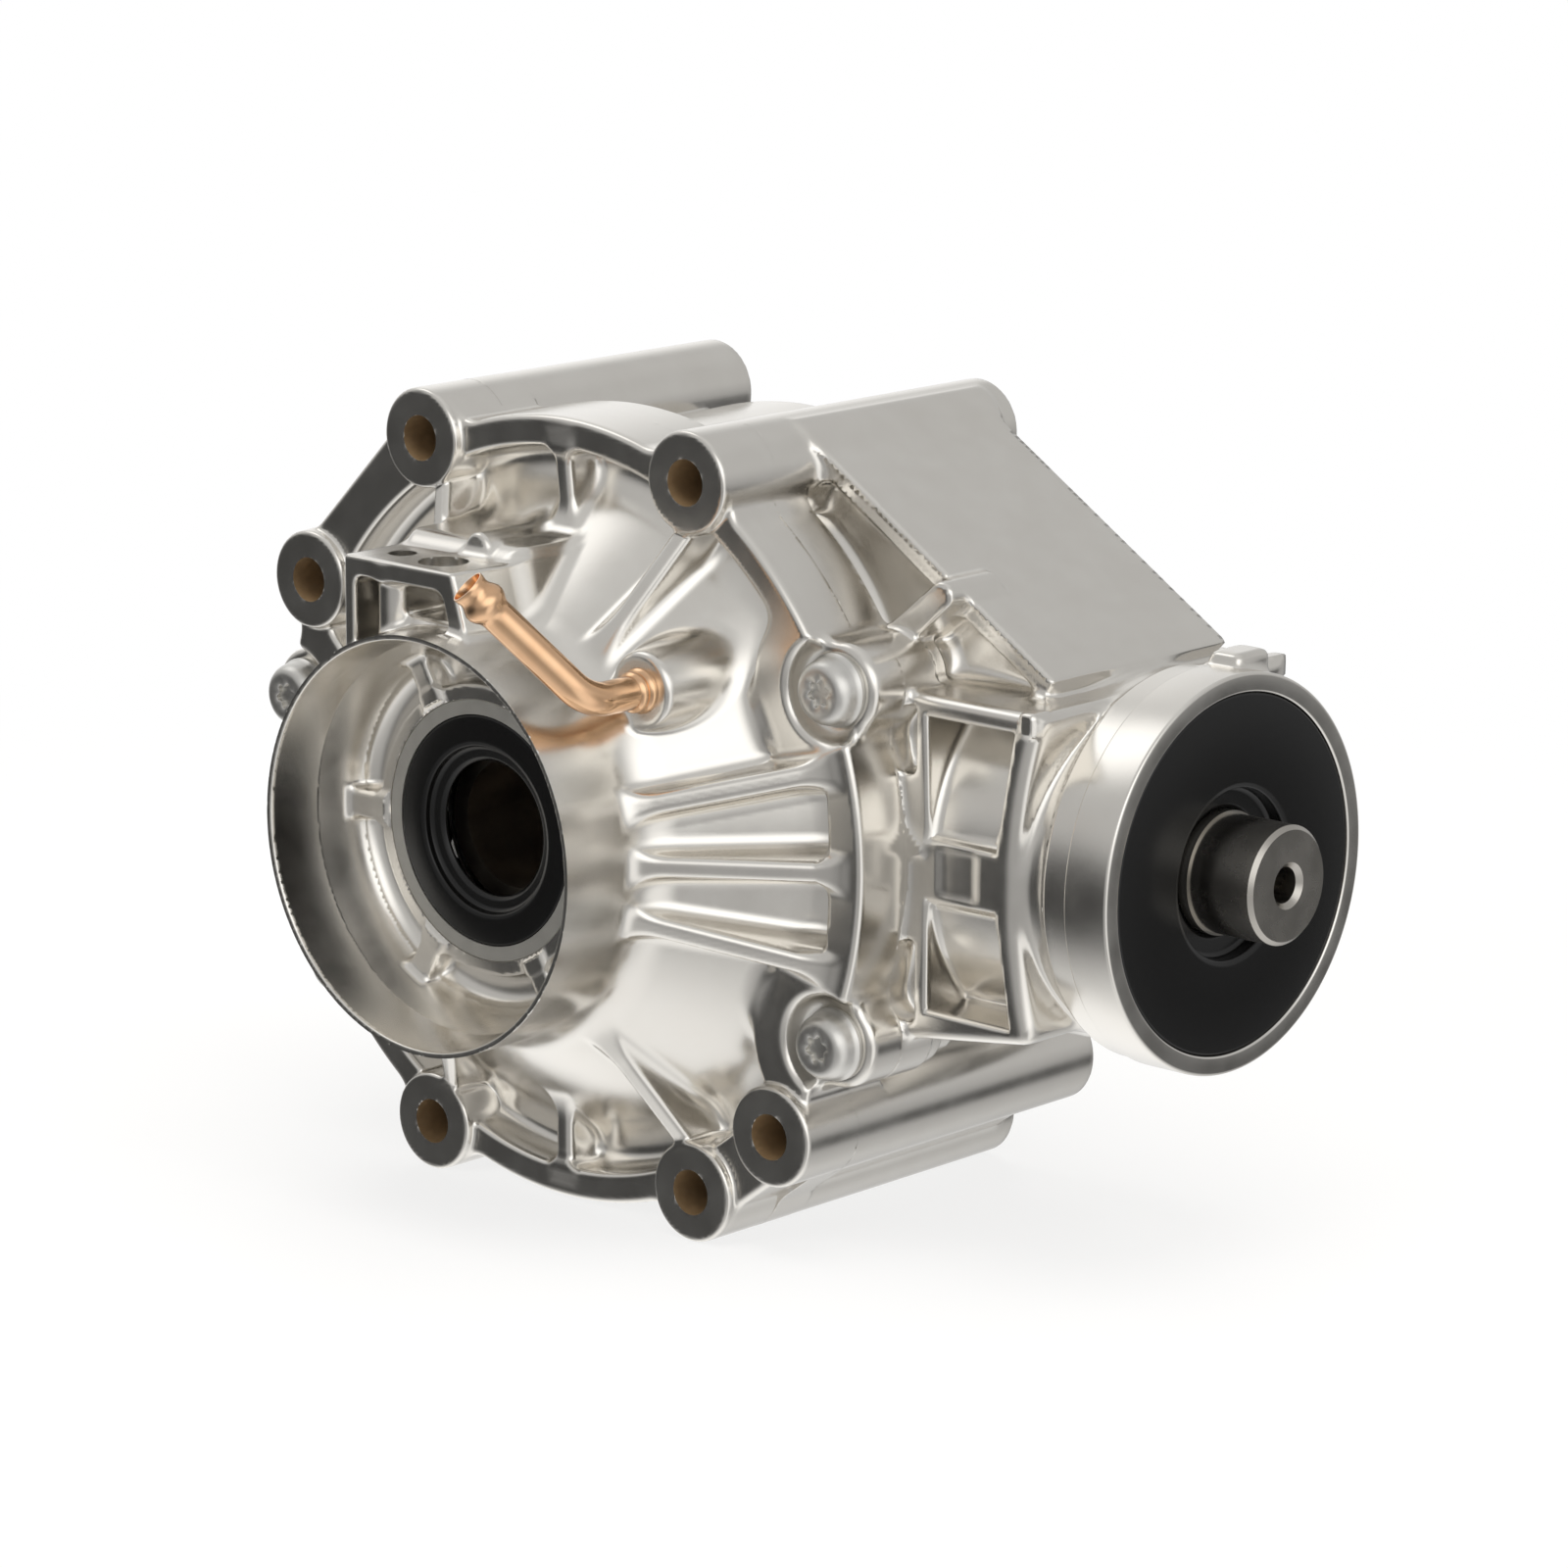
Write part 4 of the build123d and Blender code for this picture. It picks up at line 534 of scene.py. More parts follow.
def housing_bosses(x, y, z, shape):
    """Adds the webs between paired bolts, the six long bosses with their fins and the screw bosses."""
    for start, end in BOLT_PAIRS:
        web = smooth_max(capsule(y, z, start, end) - WEB_HALF, between(x, PARTING_X, WEB_BACK_X), 2.0)
        shape = smooth_min(shape, web, 4.0)
    for by, bz in BOLTS:
        boss = smooth_max(np.hypot(y - by, z - bz) - BOSS_R, x - BOSS_BACK_X, 1.2)
        shape = smooth_min(shape, np.maximum(boss, PARTING_X - x), 1.2)
        length = hypot(by, bz)
        across = np.abs(z * by - y * bz) / length
        fin = smooth_max(across - FIN_HALF, between(x, PARTING_X, FIN_BACK_X), 2.0)
        fin = np.maximum(fin, between((y * by + z * bz) / length, FIN_ROOT_R, length - FIN_GAP))
        shape = smooth_min(shape, fin, 6.0)
    distance = nearest(y, z, SCREWS)
    boss, foot = (smooth_max(distance - radius, x - end, 1.4) for radius, end in SCREW_BOSSES)
    return smooth_min(shape, np.maximum(smooth_min(boss, foot, 1.5), PARTING_X - x), 1.2)


def housing_field(x, y, z):
    """Field of the cast main housing: barrel, flange, bolt bosses, neck, side frame, plate and bores."""
    r = np.hypot(y, z)
    rim = np.maximum(flange_outline(y, z), between(x, PARTING_X, FLANGE_BACK_X))
    shape = housing_bosses(x, y, z, smooth_min(barrel_field(x, r), rim, 6.0))
    shape = smooth_min(shape, np.maximum(neck_field(x, y, z), y - NECK_BACK_Y), 5.0)
    shape = smooth_min(shape, side_frame(x, y, z), 2.5)
    shape = smooth_min(shape, housing_plate(x, y, z), 4.0)
    block = smooth_max(capsule(y, z, *PLATE_BLOCK) - PLATE_BLOCK_HALF, between(x, *PLATE_BLOCK_X), 1.2)
    shape = smooth_min(shape, block, 2.5)
    shape = smooth_min(shape, brick(x, y, z, NOSE_LUG, 2.0), 3.0)
    for angle in REAR_RIB_ANGLES:
        c, s = polar(1.0, angle)
        rib = smooth_max(np.abs(z * c - y * s) - RIB_HALF, outline_field(x, r, REAR_RIB), 1.6)
        shape = smooth_min(shape, rib, 4.0)
    plug = nearest(y, z, PLUG_SPOTS)
    boss = smooth_max(plug - PLUG_BOSS_R, between(x, PLUG_BACK_X, PLUG_FACE_X), 1.2)
    shape = smooth_min(shape, boss, 4.0)
    shape = np.maximum(shape, PARTING_X - x)
    shape = np.maximum(shape, -barrel_inside(x, r))
    shape = np.maximum(shape, -neck_inside(y, np.hypot(x, z)))
    shape = np.maximum(shape, BOLT_HOLE_R - nearest(y, z, BOLTS))
    dowel = nearest(y, z, DOWEL_BOLTS) - DOWEL_R
    shape = np.maximum(shape, -np.maximum(dowel, x - PARTING_X - DOWEL_DEPTH))
    tapped = nearest(y, z, SCREWS) - TAPPED_HOLE_R
    shape = np.maximum(shape, -np.maximum(tapped, x - TAPPED_END_X))
    return np.maximum(shape, -np.maximum(plug - PLUG_HOLE_R, -x))


# Angles in degrees. A quad turned less than FLAT_TURN from the field's slope at its points is shaded with
# that slope, and past it each corner goes over to a slope of its own, across EDGE_TURN.
FLAT_TURN = 13
EDGE_TURN = (16, 34)


def stations(*spans):
    """Grid stations along one axis, from spans (start, end, step) that follow each other."""
    parts = [np.linspace(a, b, max(int(round((b - a) / step)), 1), endpoint=False) for a, b, step in spans]
    return np.append(np.concatenate(parts), spans[-1][1])


def field_normals(field, points, step=0.03):
    """Unit normals at points: the slope of the field from four samples at the corners of a tetrahedron."""
    slope = np.zeros(points.shape)
    for corner in ((1, 1, 1), (1, -1, -1), (-1, 1, -1), (-1, -1, 1)):
        way = np.array(corner, float)
        slope += field(*(points + step * way).T)[:, None] * way
    return unit(slope)


def unit(vectors):
    """Vectors brought to length one along their last axis."""
    return vectors / np.maximum(np.linalg.norm(vectors, axis=-1, keepdims=True), 1e-9)


def field_on_grid(field, axes, block=4):
    """Field at the grid points of every block near the surface.

    The other blocks keep the value at their corner: a block can be left out when the distance at each of
    its corners is more than its diagonal.
    """
    stops = [np.append(axis[:-1:block], axis[-1]) for axis in axes]
    corners = field(*(a.ravel() for a in np.meshgrid(*stops, indexing="ij")))
    corners = corners.reshape([len(s) for s in stops])
    sizes = np.meshgrid(*(np.diff(s) for s in stops), indexing="ij")
    reach = 1.2 * np.sqrt(sum(size ** 2 for size in sizes))
    farthest = np.max([np.abs(corners[i:i + reach.shape[0], j:j + reach.shape[1], k:k + reach.shape[2]])
                       for i in (0, 1) for j in (0, 1) for k in (0, 1)], axis=0)
    picks = [np.minimum(np.arange(len(axis)) // block, len(s) - 2) for axis, s in zip(axes, stops)]
    values = corners[np.ix_(*picks)].astype(np.float32)
    near = np.argwhere((farthest < reach)[np.ix_(*picks)])
    for group in np.array_split(near, max(len(near) // 400000, 1)):
        spots = [axis[group[:, a]].astype(np.float32) for a, axis in enumerate(axes)]
        values[tuple(group.T)] = field(*spots)
    return values


def edge_crossings(field, axes, values):
    """Places where grid edges cross the surface, by false position, with the four cells round each edge."""
    shape = tuple(n - 1 for n in values.shape)
    places, cells, flips = [], [], []
    for axis in range(3):
        low = np.moveaxis(values, axis, 0)[:-1]
        high = np.moveaxis(values, axis, 0)[1:]
        found = np.argwhere((low < 0) != (high < 0))
        index = np.empty_like(found)
        index[:, axis] = found[:, 0]
        others = [a for a in range(3) if a != axis]
        index[:, others[0]], index[:, others[1]] = found[:, 1], found[:, 2]
        start = np.stack([axes[a][index[:, a]] for a in range(3)], -1).astype(float)
        end = start.copy()
        end[:, axis] = axes[axis][index[:, axis] + 1]
        f0 = low[tuple(found.T)].astype(float)
        f1 = high[tuple(found.T)].astype(float)
        lo, hi = np.zeros(len(found)), np.ones(len(found))
        inward = f0 < 0
        for _ in range(4):
            share = np.clip(f0 / (f0 - f1), 0.08, 0.92)
            middle = lo + (hi - lo) * share
            value = field(*(start + (end - start) * middle[:, None]).T)
            same = (value < 0) == inward
            lo, f0 = np.where(same, middle, lo), np.where(same, value, f0)
            hi, f1 = np.where(same, hi, middle), np.where(same, f1, value)
        share = lo + (hi - lo) * np.clip(f0 / np.where(f0 == f1, 1.0, f0 - f1), 0.0, 1.0)
        places.append(start + (end - start) * share[:, None])
        flips.append(~inward)
        second, third = (axis + 1) % 3, (axis + 2) % 3
        ring = []
        for a, b in ((-1, -1), (0, -1), (0, 0), (-1, 0)):
            cell = index.copy()
            cell[:, second] += a
            cell[:, third] += b
            ring.append(np.ravel_multi_index(cell.T, shape))
        cells.append(np.stack(ring, -1))
    return np.concatenate(places), np.concatenate(cells), np.concatenate(flips), shape


def cell_points(places, normals, rings, axes, shape):
    """One point per cell: the least-squares meeting point of the tangent planes at its crossings."""
    ids, inverse = np.unique(rings, return_inverse=True)
    inverse = inverse.reshape(rings.shape)
    owner = inverse.ravel()
    p = np.repeat(places, 4, axis=0)
    n = np.repeat(normals, 4, axis=0)

    def total(weight):
        return np.bincount(owner, weight, len(ids))

    count = total(np.ones(len(owner)))
    mean = np.stack([total(p[:, a]) for a in range(3)], -1) / count[:, None]
    matrix = np.empty((len(ids), 3, 3))
    for a in range(3):
        for b in range(a, 3):
            matrix[:, a, b] = matrix[:, b, a] = total(n[:, a] * n[:, b])
    height = np.sum(n * (p - mean[owner]), axis=1)
    target = np.stack([total(n[:, a] * height) for a in range(3)], -1)
    damp = 0.02 * count[:, None, None] * np.eye(3)
    offset = np.linalg.solve(matrix + damp, target[:, :, None])[:, :, 0]
    corner = np.stack(np.unravel_index(ids, shape), -1)
    low = np.stack([axes[a][corner[:, a]] for a in range(3)], -1)
    high = np.stack([axes[a][corner[:, a] + 1] for a in range(3)], -1)
    return np.clip(mean + offset, low, high), inverse


def field_surface(field, axes):
    """Points, quads and corner normals of a field's zero surface.

    There is one point per cell and one quad per crossed edge. A point sits where the tangent planes in its
    cell meet, so edges stay crisp. A corner is shaded with the field's slope at its point, and where the
    quads there turn sharply, with the slope a little inside its quad.
    """
    values = field_on_grid(field, axes)
    places, rings, flips, shape = edge_crossings(field, axes, values)
    normals = field_normals(field, places)
    points, quads = cell_points(places, normals, rings, axes, shape)
    quads[flips] = quads[flips][:, ::-1]
    at_point = field_normals(field, points)
    points = points - at_point * np.clip(field(*points.T), -0.3, 0.3)[:, None]
    shared = at_point[quads]
    first, second, third, fourth = (points[quads[:, corner]] for corner in range(4))
    face = unit(np.cross(third - first, fourth - second))
    turned = np.min(np.sum(shared * face[:, None], axis=-1), axis=1) < cos(radians(FLAT_TURN))
    corners = points[quads[turned]]
    inner = corners + 0.3 * (corners.mean(axis=1, keepdims=True) - corners)
    slope = field_normals(field, inner.reshape(-1, 3)).reshape(corners.shape)
    agree = np.sum(shared[turned] * slope, axis=-1, keepdims=True)
    soft, hard = (cos(radians(angle)) for angle in EDGE_TURN)
    share = np.clip((soft - agree) / (soft - hard), 0.0, 1.0)
    mixed = unit(shared[turned] + (slope - shared[turned]) * share * share * (3.0 - 2.0 * share))
    behind = np.sum(mixed * face[turned][:, None], axis=-1, keepdims=True) < 0.1
    shared[turned] = np.where(behind, face[turned][:, None], mixed)
    return points, quads, shared


def in_bolt_hole(places):
    """1 for places on the wall of a through-bolt hole, else 0."""
    return (nearest(places[:, 1], places[:, 2], BOLTS) < BOLT_HOLE_R + 0.03).astype(np.int32)


def draw_casting(name, field, axes, region_names, region_of, node):
    """Draws a field's surface as one piece per region, with the walls of the bolt holes in their own finish.

    region_of gives each quad the number of its region by its middle.
    """
    points, quads, normals = field_surface(field, axes)
    middles = points[quads].mean(axis=1)
    region = region_of(*middles.T)
    for index, region_name in enumerate(region_names):
        mine = region == index
        used, faces = np.unique(quads[mine], return_inverse=True)
        piece = mesh_object(name + "_" + region_name, points[used] * MM, faces.reshape(-1, 4),
                            normals[mine].reshape(-1, 3))
        dress(piece, "cast_aluminium", "housing", node)
        piece.data.materials.append(finish_for("cast_bore"))
        piece.data.polygons.foreach_set("material_index", in_bolt_hole(middles[mine]))


def mesh_object(name, points, faces, corner_normals=None):
    """Object from arrays of points and equal-sided faces, at the origin of the scene."""
    mesh = bpy.data.meshes.new(name)
    sides = faces.shape[1]
    mesh.vertices.add(len(points))
    mesh.vertices.foreach_set("co", points.astype(np.float32).ravel())
    mesh.loops.add(faces.size)
    mesh.loops.foreach_set("vertex_index", faces.astype(np.int32).ravel())
    mesh.polygons.add(len(faces))
    mesh.polygons.foreach_set("loop_start", np.arange(0, faces.size, sides, dtype=np.int32))
    mesh.update(calc_edges=True)
    mesh.validate()
    mesh.polygons.foreach_set("use_smooth", np.ones(len(mesh.polygons), bool))
    if corner_normals is not None:
        mesh.normals_split_custom_set(corner_normals.tolist())
    piece = bpy.data.objects.new(name, mesh)
    bpy.context.scene.collection.objects.link(piece)
    return piece


def lathe(profile, origin, axis, steps, lobes=None):
    """Surface turned about an axis: point = origin + height along the axis + radius at the angle round it.

    profile is a list of (radius, height); lobes adds a sixfold wave to the radius of each of its points.
    """
    axis = Vector(axis).normalized()
    side = axis.orthogonal().normalized()
    other = axis.cross(side)
    angle = np.linspace(0.0, 2.0 * pi, steps, endpoint=False)
    radius = np.array([p[0] for p in profile])[:, None] * np.ones(steps)
    if lobes is not None:
        radius = radius + np.array(lobes)[:, None] * np.cos(6 * angle)
    height = np.array([p[1] for p in profile])[:, None, None]
    spoke = np.cos(angle)[:, None] * np.array(side) + np.sin(angle)[:, None] * np.array(other)
    points = np.array(origin) + height * np.array(axis) + radius[:, :, None] * spoke
    return points, grid_faces(len(profile), steps)


def grid_faces(rows, columns, closed_rows=False):
    """Quads of a grid whose columns close on themselves, and whose rows may too."""
    i = np.arange(rows if closed_rows else rows - 1)[:, None]
    j = np.arange(columns)[None, :]
    i2, j2 = (i + 1) % rows, (j + 1) % columns
    quads = np.stack([i * columns + j, i * columns + j2, i2 * columns + j2, i2 * columns + j], -1)
    return quads.reshape(-1, 4)


def swept_tube(line, outline, steps=64):
    """Closed tube along a line of (point, tangent, plane normal) rows, with a radius for each row."""
    angle = np.linspace(0.0, 2.0 * pi, steps, endpoint=False)[None, :, None]
    point, tangent, normal = (np.array(part)[:, None, :] for part in line)
    other = np.cross(tangent, normal)
    radius = np.array(outline)[:, None, None]
    points = point + radius * (np.cos(angle) * normal + np.sin(angle) * other)
    return points, grid_faces(len(outline), steps, closed_rows=True)


def round_off(points, radius, count):
    """Outline with each corner swapped for a parabola whose ends lie up to a radius from the corner."""
    made = [points[0]]
    for before, corner, after in zip(points, points[1:], points[2:]):
        corner = np.array(corner, float)
        to_before, to_after = np.array(before) - corner, np.array(after) - corner
        reach = min(radius, 0.45 * np.linalg.norm(to_before), 0.45 * np.linalg.norm(to_after))
        start = corner + to_before / np.linalg.norm(to_before) * reach
        end = corner + to_after / np.linalg.norm(to_after) * reach
        for share in np.linspace(0.0, 1.0, count):
            left = 1 - share
            made.append(tuple(left ** 2 * start + 2 * share * left * corner + share ** 2 * end))
    made.append(points[-1])
    return made


def join_surfaces(name, surfaces, edge_angle):
    """One object from several grids of points and faces, shaded smooth below an edge angle."""
    points, faces, start = [], [], 0
    for grid, quads in surfaces:
        points.append(grid.reshape(-1, 3))
        faces.append(quads + start)
        start += points[-1].shape[0]
    piece = mesh_object(name, np.concatenate(points) * MM, np.concatenate(faces))
    piece.data.set_sharp_from_angle(angle=radians(edge_angle))
    return piece


def to_linear(code):
    """Linear colour from an sRGB hex code, by the sRGB curve."""
    channels = [int(code[i:i + 2], 16) / 255 for i in (1, 3, 5)]
    return tuple(c / 12.92 if c <= 0.04045 else ((c + 0.055) / 1.055) ** 2.4 for c in channels) + (1.0,)


def add_node(material, kind, inputs, **settings):
    """Adds a shader node with its settings; inputs gives values, or output sockets to link."""
    tree = material.node_tree
    node = tree.nodes.new(kind)
    for key, value in settings.items():
        setattr(node, key, value)
    for key, value in inputs.items():
        if isinstance(value, bpy.types.NodeSocket):
            tree.links.new(value, node.inputs[key])
        else:
            node.inputs[key].default_value = value
    return node


def blank_material(name):
    """Material with an empty node tree."""
    material = bpy.data.materials.new(name)
    material.use_nodes = True
    material.node_tree.nodes.clear()
    return material


def metal(name, light, dark, rough, patch, grain, bump, metallic=1.0):
    """Metal whose colour and gloss drift between two values over patches, with a fine grain in relief.

    rough is the low and high roughness; patch and grain are pattern sizes and bump a depth in millimetres.
    """
    material = blank_material(name)
    place = add_node(material, "ShaderNodeTexCoord", {})
    clouds = add_node(material, "ShaderNodeTexNoise",
                      {"Vector": place.outputs["Object"], "Scale": 1.0 / (patch * MM), "Detail": 3.0})
    fine = add_node(material, "ShaderNodeTexNoise",
                    {"Vector": place.outputs["Object"], "Scale": 1.0 / (grain * MM), "Detail": 2.0})
    tone = add_node(material, "ShaderNodeMix", {"Factor": clouds.outputs["Fac"], 6: to_linear(dark),
                                                7: to_linear(light)}, data_type="RGBA")
    gloss = add_node(material, "ShaderNodeMapRange",
                     {"Value": clouds.outputs["Fac"], "From Min": 0.3, "From Max": 0.7,
                      "To Min": rough[0], "To Max": rough[1]})
    relief = add_node(material, "ShaderNodeBump", {"Height": fine.outputs["Fac"], "Strength": 1.0,
                                                   "Distance": bump * MM})
    shader = add_node(material, "ShaderNodeBsdfPrincipled",
                      {"Base Color": tone.outputs[2], "Metallic": metallic,
                       "Roughness": gloss.outputs["Result"], "Normal": relief.outputs["Normal"]})
    add_node(material, "ShaderNodeOutputMaterial", {"Surface": shader.outputs["BSDF"]})
    return material


def moulded_rubber(name, colour, rough, grain):
    """Nitrile rubber, moulded in a ground tool: near black, a broad soft sheen and a very fine grain."""
    material = blank_material(name)
    place = add_node(material, "ShaderNodeTexCoord", {})
    fine = add_node(material, "ShaderNodeTexNoise",
                    {"Vector": place.outputs["Object"], "Scale": 1.0 / (grain * MM), "Detail": 3.0})
    gloss = add_node(material, "ShaderNodeMapRange", {"Value": fine.outputs["Fac"], "To Min": rough[0],
                                                      "To Max": rough[1]})
    relief = add_node(material, "ShaderNodeBump", {"Height": fine.outputs["Fac"], "Strength": 1.0,
                                                   "Distance": RUBBER_RELIEF * MM})
    shader = add_node(material, "ShaderNodeBsdfPrincipled",
                      {"Base Color": to_linear(colour), "Metallic": 0.0, "IOR": RUBBER_IOR,
                       "Roughness": gloss.outputs["Result"], "Normal": relief.outputs["Normal"]})
    add_node(material, "ShaderNodeOutputMaterial", {"Surface": shader.outputs["BSDF"]})
    return material


# Finishes by slot: name, light tone as a hex code or the name of a colour on the panel, dark tone, low and
# high roughness, the sizes of the patches and of the grain, the depth of the relief, and a last 0 for a
# coat that isn't metal
METALS = {
    # Die-cast aluminium, vibratory polished: bright, warm, soft reflections with cloudy gloss
    "cast_aluminium": ("cast_aluminium_polished", "casting", "#DEDAD3", (0.20, 0.26), 9.0, 0.9, 0.004),
    # Bolt hole wall: brown, darker than the casting, dull and not metal
    "cast_bore": ("bolt_hole_sealed", "#957D5E", "#7C6548", (0.45, 0.55), 2.0, 0.4, 0.02, 0.0),
    # Cold-headed steel, zinc plated: even grey with a satin gloss
    "screw_steel": ("screw_steel_zinc_plated", "screw", "#CFCDC8", (0.34, 0.42), 3.0, 0.4, 0.006),
    # Drawn bronze tube: warm and glossy
    "bronze_tube": ("bronze_tube_drawn", "tube", "#DDB088", (0.14, 0.20), 5.0, 0.5, 0.003),
    # Pressed steel ring, phosphated: mid grey, matt
    "seal_case_steel": ("seal_case_steel_pressed", "#CFCDC7", "#BDBBB5", (0.60, 0.68), 4.0, 0.5, 0.006),
    # Case-hardened gear steel, ground: dark grey with a tight gloss
    "gear_steel": ("gear_steel_hardened", "#BDB9B2", "#ABA7A0", (0.24, 0.30), 9.0, 0.5, 0.002),
    # Nodular iron, turned on its seats: dark, brownish and dull
    "case_iron": ("case_iron_turned", "#B3A99D", "#9A9085", (0.30, 0.38), 8.0, 0.8, 0.006),
    # Through-hardened bearing steel, superfinished: bright and glossy
    "bearing_steel": ("bearing_steel_ground", "#C4C3C0", "#B2B1AE", (0.12, 0.20), 8.0, 0.3, 0.002),
    # Pressed cage sheet, tumbled: satin grey
    "pressed_cage_steel": ("cage_steel_pressed", "#A3A29E", "#8A8985", (0.34, 0.44), 4.0, 0.5, 0.010),
    # Sintered bronze washer, sized: golden and satin
    "thrust_bronze": ("thrust_bronze_sintered", "#C59A5B", "#A97F45", (0.30, 0.42), 3.0, 0.4, 0.010),
    # Annealed copper: soft reddish and dull
    "copper_washer": ("copper_washer_annealed", "#C07F5E", "#A5674A", (0.34, 0.46), 3.0, 0.4, 0.008),
    # Cold-rolled shim steel: bright with fine rolling marks
    "shim_steel": ("shim_steel_rolled", "#B5B4B0", "#A2A19D", (0.22, 0.30), 5.0, 0.3, 0.004),
}
RUBBER_ROUGH = (0.22, 0.28)
RUBBER_GRAIN = 0.5
RUBBER_RELIEF = 0.01
RUBBER_IOR = 1.44
FINISHES = {}


def finish_for(slot):
    """Material of a record slot, made once: what the real piece is made of and how its surface was made."""
    if slot not in FINISHES:
        colours = bpy.context.scene.drive_finish
        if slot == "black_rubber":
            made = moulded_rubber("nitrile_rubber_moulded", colours.rubber, RUBBER_ROUGH, RUBBER_GRAIN)
        else:
            name, light, *rest = METALS[slot]
            made = metal(name, getattr(colours, light, light), *rest)
        FINISHES[slot] = made
    return FINISHES[slot]


def dress(piece, slot, body, *nodes):
    """Gives a new piece its finish and its body, and lets it stand for its nodes."""
    piece.data.materials.clear()
    piece.data.materials.append(finish_for(slot))
    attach(piece, body)
    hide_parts(*nodes)
    return piece


# Finish of each node that keeps its own shape, by the words in its name
NODE_FINISH = (("plug_washer", "copper_washer"), ("plug", "screw_steel"), ("bolts", "screw_steel"),
               ("cage", "pressed_cage_steel"), ("shim", "shim_steel"),
               ("seal_front_case", "seal_case_steel"), ("seal_rear_case", "seal_case_steel"),
               ("seal", "black_rubber"), ("bearing", "bearing_steel"), ("washers", "thrust_bronze"),
               ("diff_case", "case_iron"), ("dowel", "shim_steel"))
OTHER_FINISH = "gear_steel"


class DriveCasting(bpy.types.PropertyGroup):
    """Sizes of the castings that a user may change."""
    cover_step: bpy.props.FloatProperty(
        name="Cover grid", description="Cell of the grid that the cover is drawn on, in millimetres",
        default=0.80, min=0.6, max=5.0)
    housing_step: bpy.props.FloatProperty(
        name="Housing grid", description="Cell of the grid that the housing is drawn on, in millimetres",
        default=1.05, min=0.8, max=5.0)


class DriveFinish(bpy.types.PropertyGroup):
    """Colours that a user may change, as sRGB hex codes."""
    casting: bpy.props.StringProperty(
        name="Casting", description="Light tone of the polished castings", default="#E6E3DD")
    screw: bpy.props.StringProperty(
        name="Screws", description="Light tone of the plated screws", default="#DAD8D3")
    tube: bpy.props.StringProperty(
        name="Breather tube", description="Light tone of the bronze tube", default="#EDC6A0")
    rubber: bpy.props.StringProperty(
        name="Seals", description="Colour of the seal rubber", default="#0E0E0E")


class DriveStage(bpy.types.PropertyGroup):
    """Camera and light values that a user may change."""
    azimuth: bpy.props.FloatProperty(
        name="Azimuth", description="Camera's angle round the unit, from the view along +Y, in degrees",
        default=-47.705)
    elevation: bpy.props.FloatProperty(
        name="Elevation", description="Camera's angle above the horizon, in degrees", default=13.162)
    lens: bpy.props.FloatProperty(
        name="Lens", description="Focal length on a sensor 36 mm wide, in millimetres", default=135.95)
    floor_size: bpy.props.FloatProperty(
        name="Floor", description="Side of the floor", default=12.0, unit="LENGTH")


# Grids of the castings along x, y and z; where less is to be seen, the housing's cells are longer by the
# third number. Each casting is parted into three pieces.
COVER_REACH = ((-113.3, -45.2), (-98.3, 109.2), (-100.3, 100.3))
COLLAR_SPLIT_X = -78.0
HOUSING_REACH = (((-48.7, -18.0, 1.0), (-18.0, 65.3, 1.45)), ((-157.6, -84.0, 1.0), (-84.0, 109.0, 1.45)),
                 ((-99.9, -52.0, 1.3), (-52.0, 96.0, 1.0), (96.0, 100.0, 1.0)))
NECK_SPLIT_Y = -84.0


class DRIVE_OT_side_cover(bpy.types.Operator):
    """Draw the cast side cover from its field"""
    bl_idname = "drive.side_cover"
    bl_label = "Side cover"

    def execute(self, context):
        step = context.scene.drive_casting.cover_step * 1.0
        axes = [stations((low, high, step)) for low, high in COVER_REACH]

        def region_of(x, y, z):
            return np.where(x < COLLAR_SPLIT_X, 0, np.where(z > 0.0, 1, 2))

        draw_casting("cover_casting", cover_field, axes, ("collar", "upper", "lower"), region_of,
                     "side_cover")
        return {"FINISHED"}


class DRIVE_OT_main_housing(bpy.types.Operator):
    """Draw the cast main housing from its field"""
    bl_idname = "drive.main_housing"
    bl_label = "Main housing"

    def execute(self, context):
        step = context.scene.drive_casting.housing_step * 1.0
        axes = [stations(*((low, high, step * coarser) for low, high, coarser in spans))
                for spans in HOUSING_REACH]

        def region_of(x, y, z):
            return np.where(y < NECK_SPLIT_Y, 0, np.where(z > 0.0, 1, 2))

        draw_casting("housing_casting", housing_field, axes, ("neck", "upper", "lower"), region_of,
                     "main_housing")
        return {"FINISHED"}


class DRIVE_OT_nose_ring(bpy.types.Operator):
    """Turn the machined ring at the front of the nose, round the pinion seal"""
    bl_idname = "drive.nose_ring"
    bl_label = "Nose ring"

    def execute(self, context):
        front, back, seal_r = NOSE_FRONT_Y, NOSE_STEP_Y, PINION_SEAL_R
        floor = front + PINION_SEAL_DEPTH - 0.05
        outline = [(NOSE_R - NOSE_STEP - 0.4, back), (NOSE_R - 0.35, back), (NOSE_R, back - 0.35),
                   (NOSE_R, front + 0.6), (NOSE_R - 0.2, front + 0.18), (NOSE_R - 0.6, front),
                   (seal_r + 0.35, front), (seal_r, front + 0.35), (seal_r, floor), (seal_r + 0.5, floor)]
        turned = lathe(round_off(outline, 0.3, 4), (0, 0, 0), (0, 1, 0), 256)
        ring = join_surfaces("housing_nose_ring", [turned], 50.0)
        dress(ring, "cast_aluminium", "housing", "main_housing")
        return {"FINISHED"}


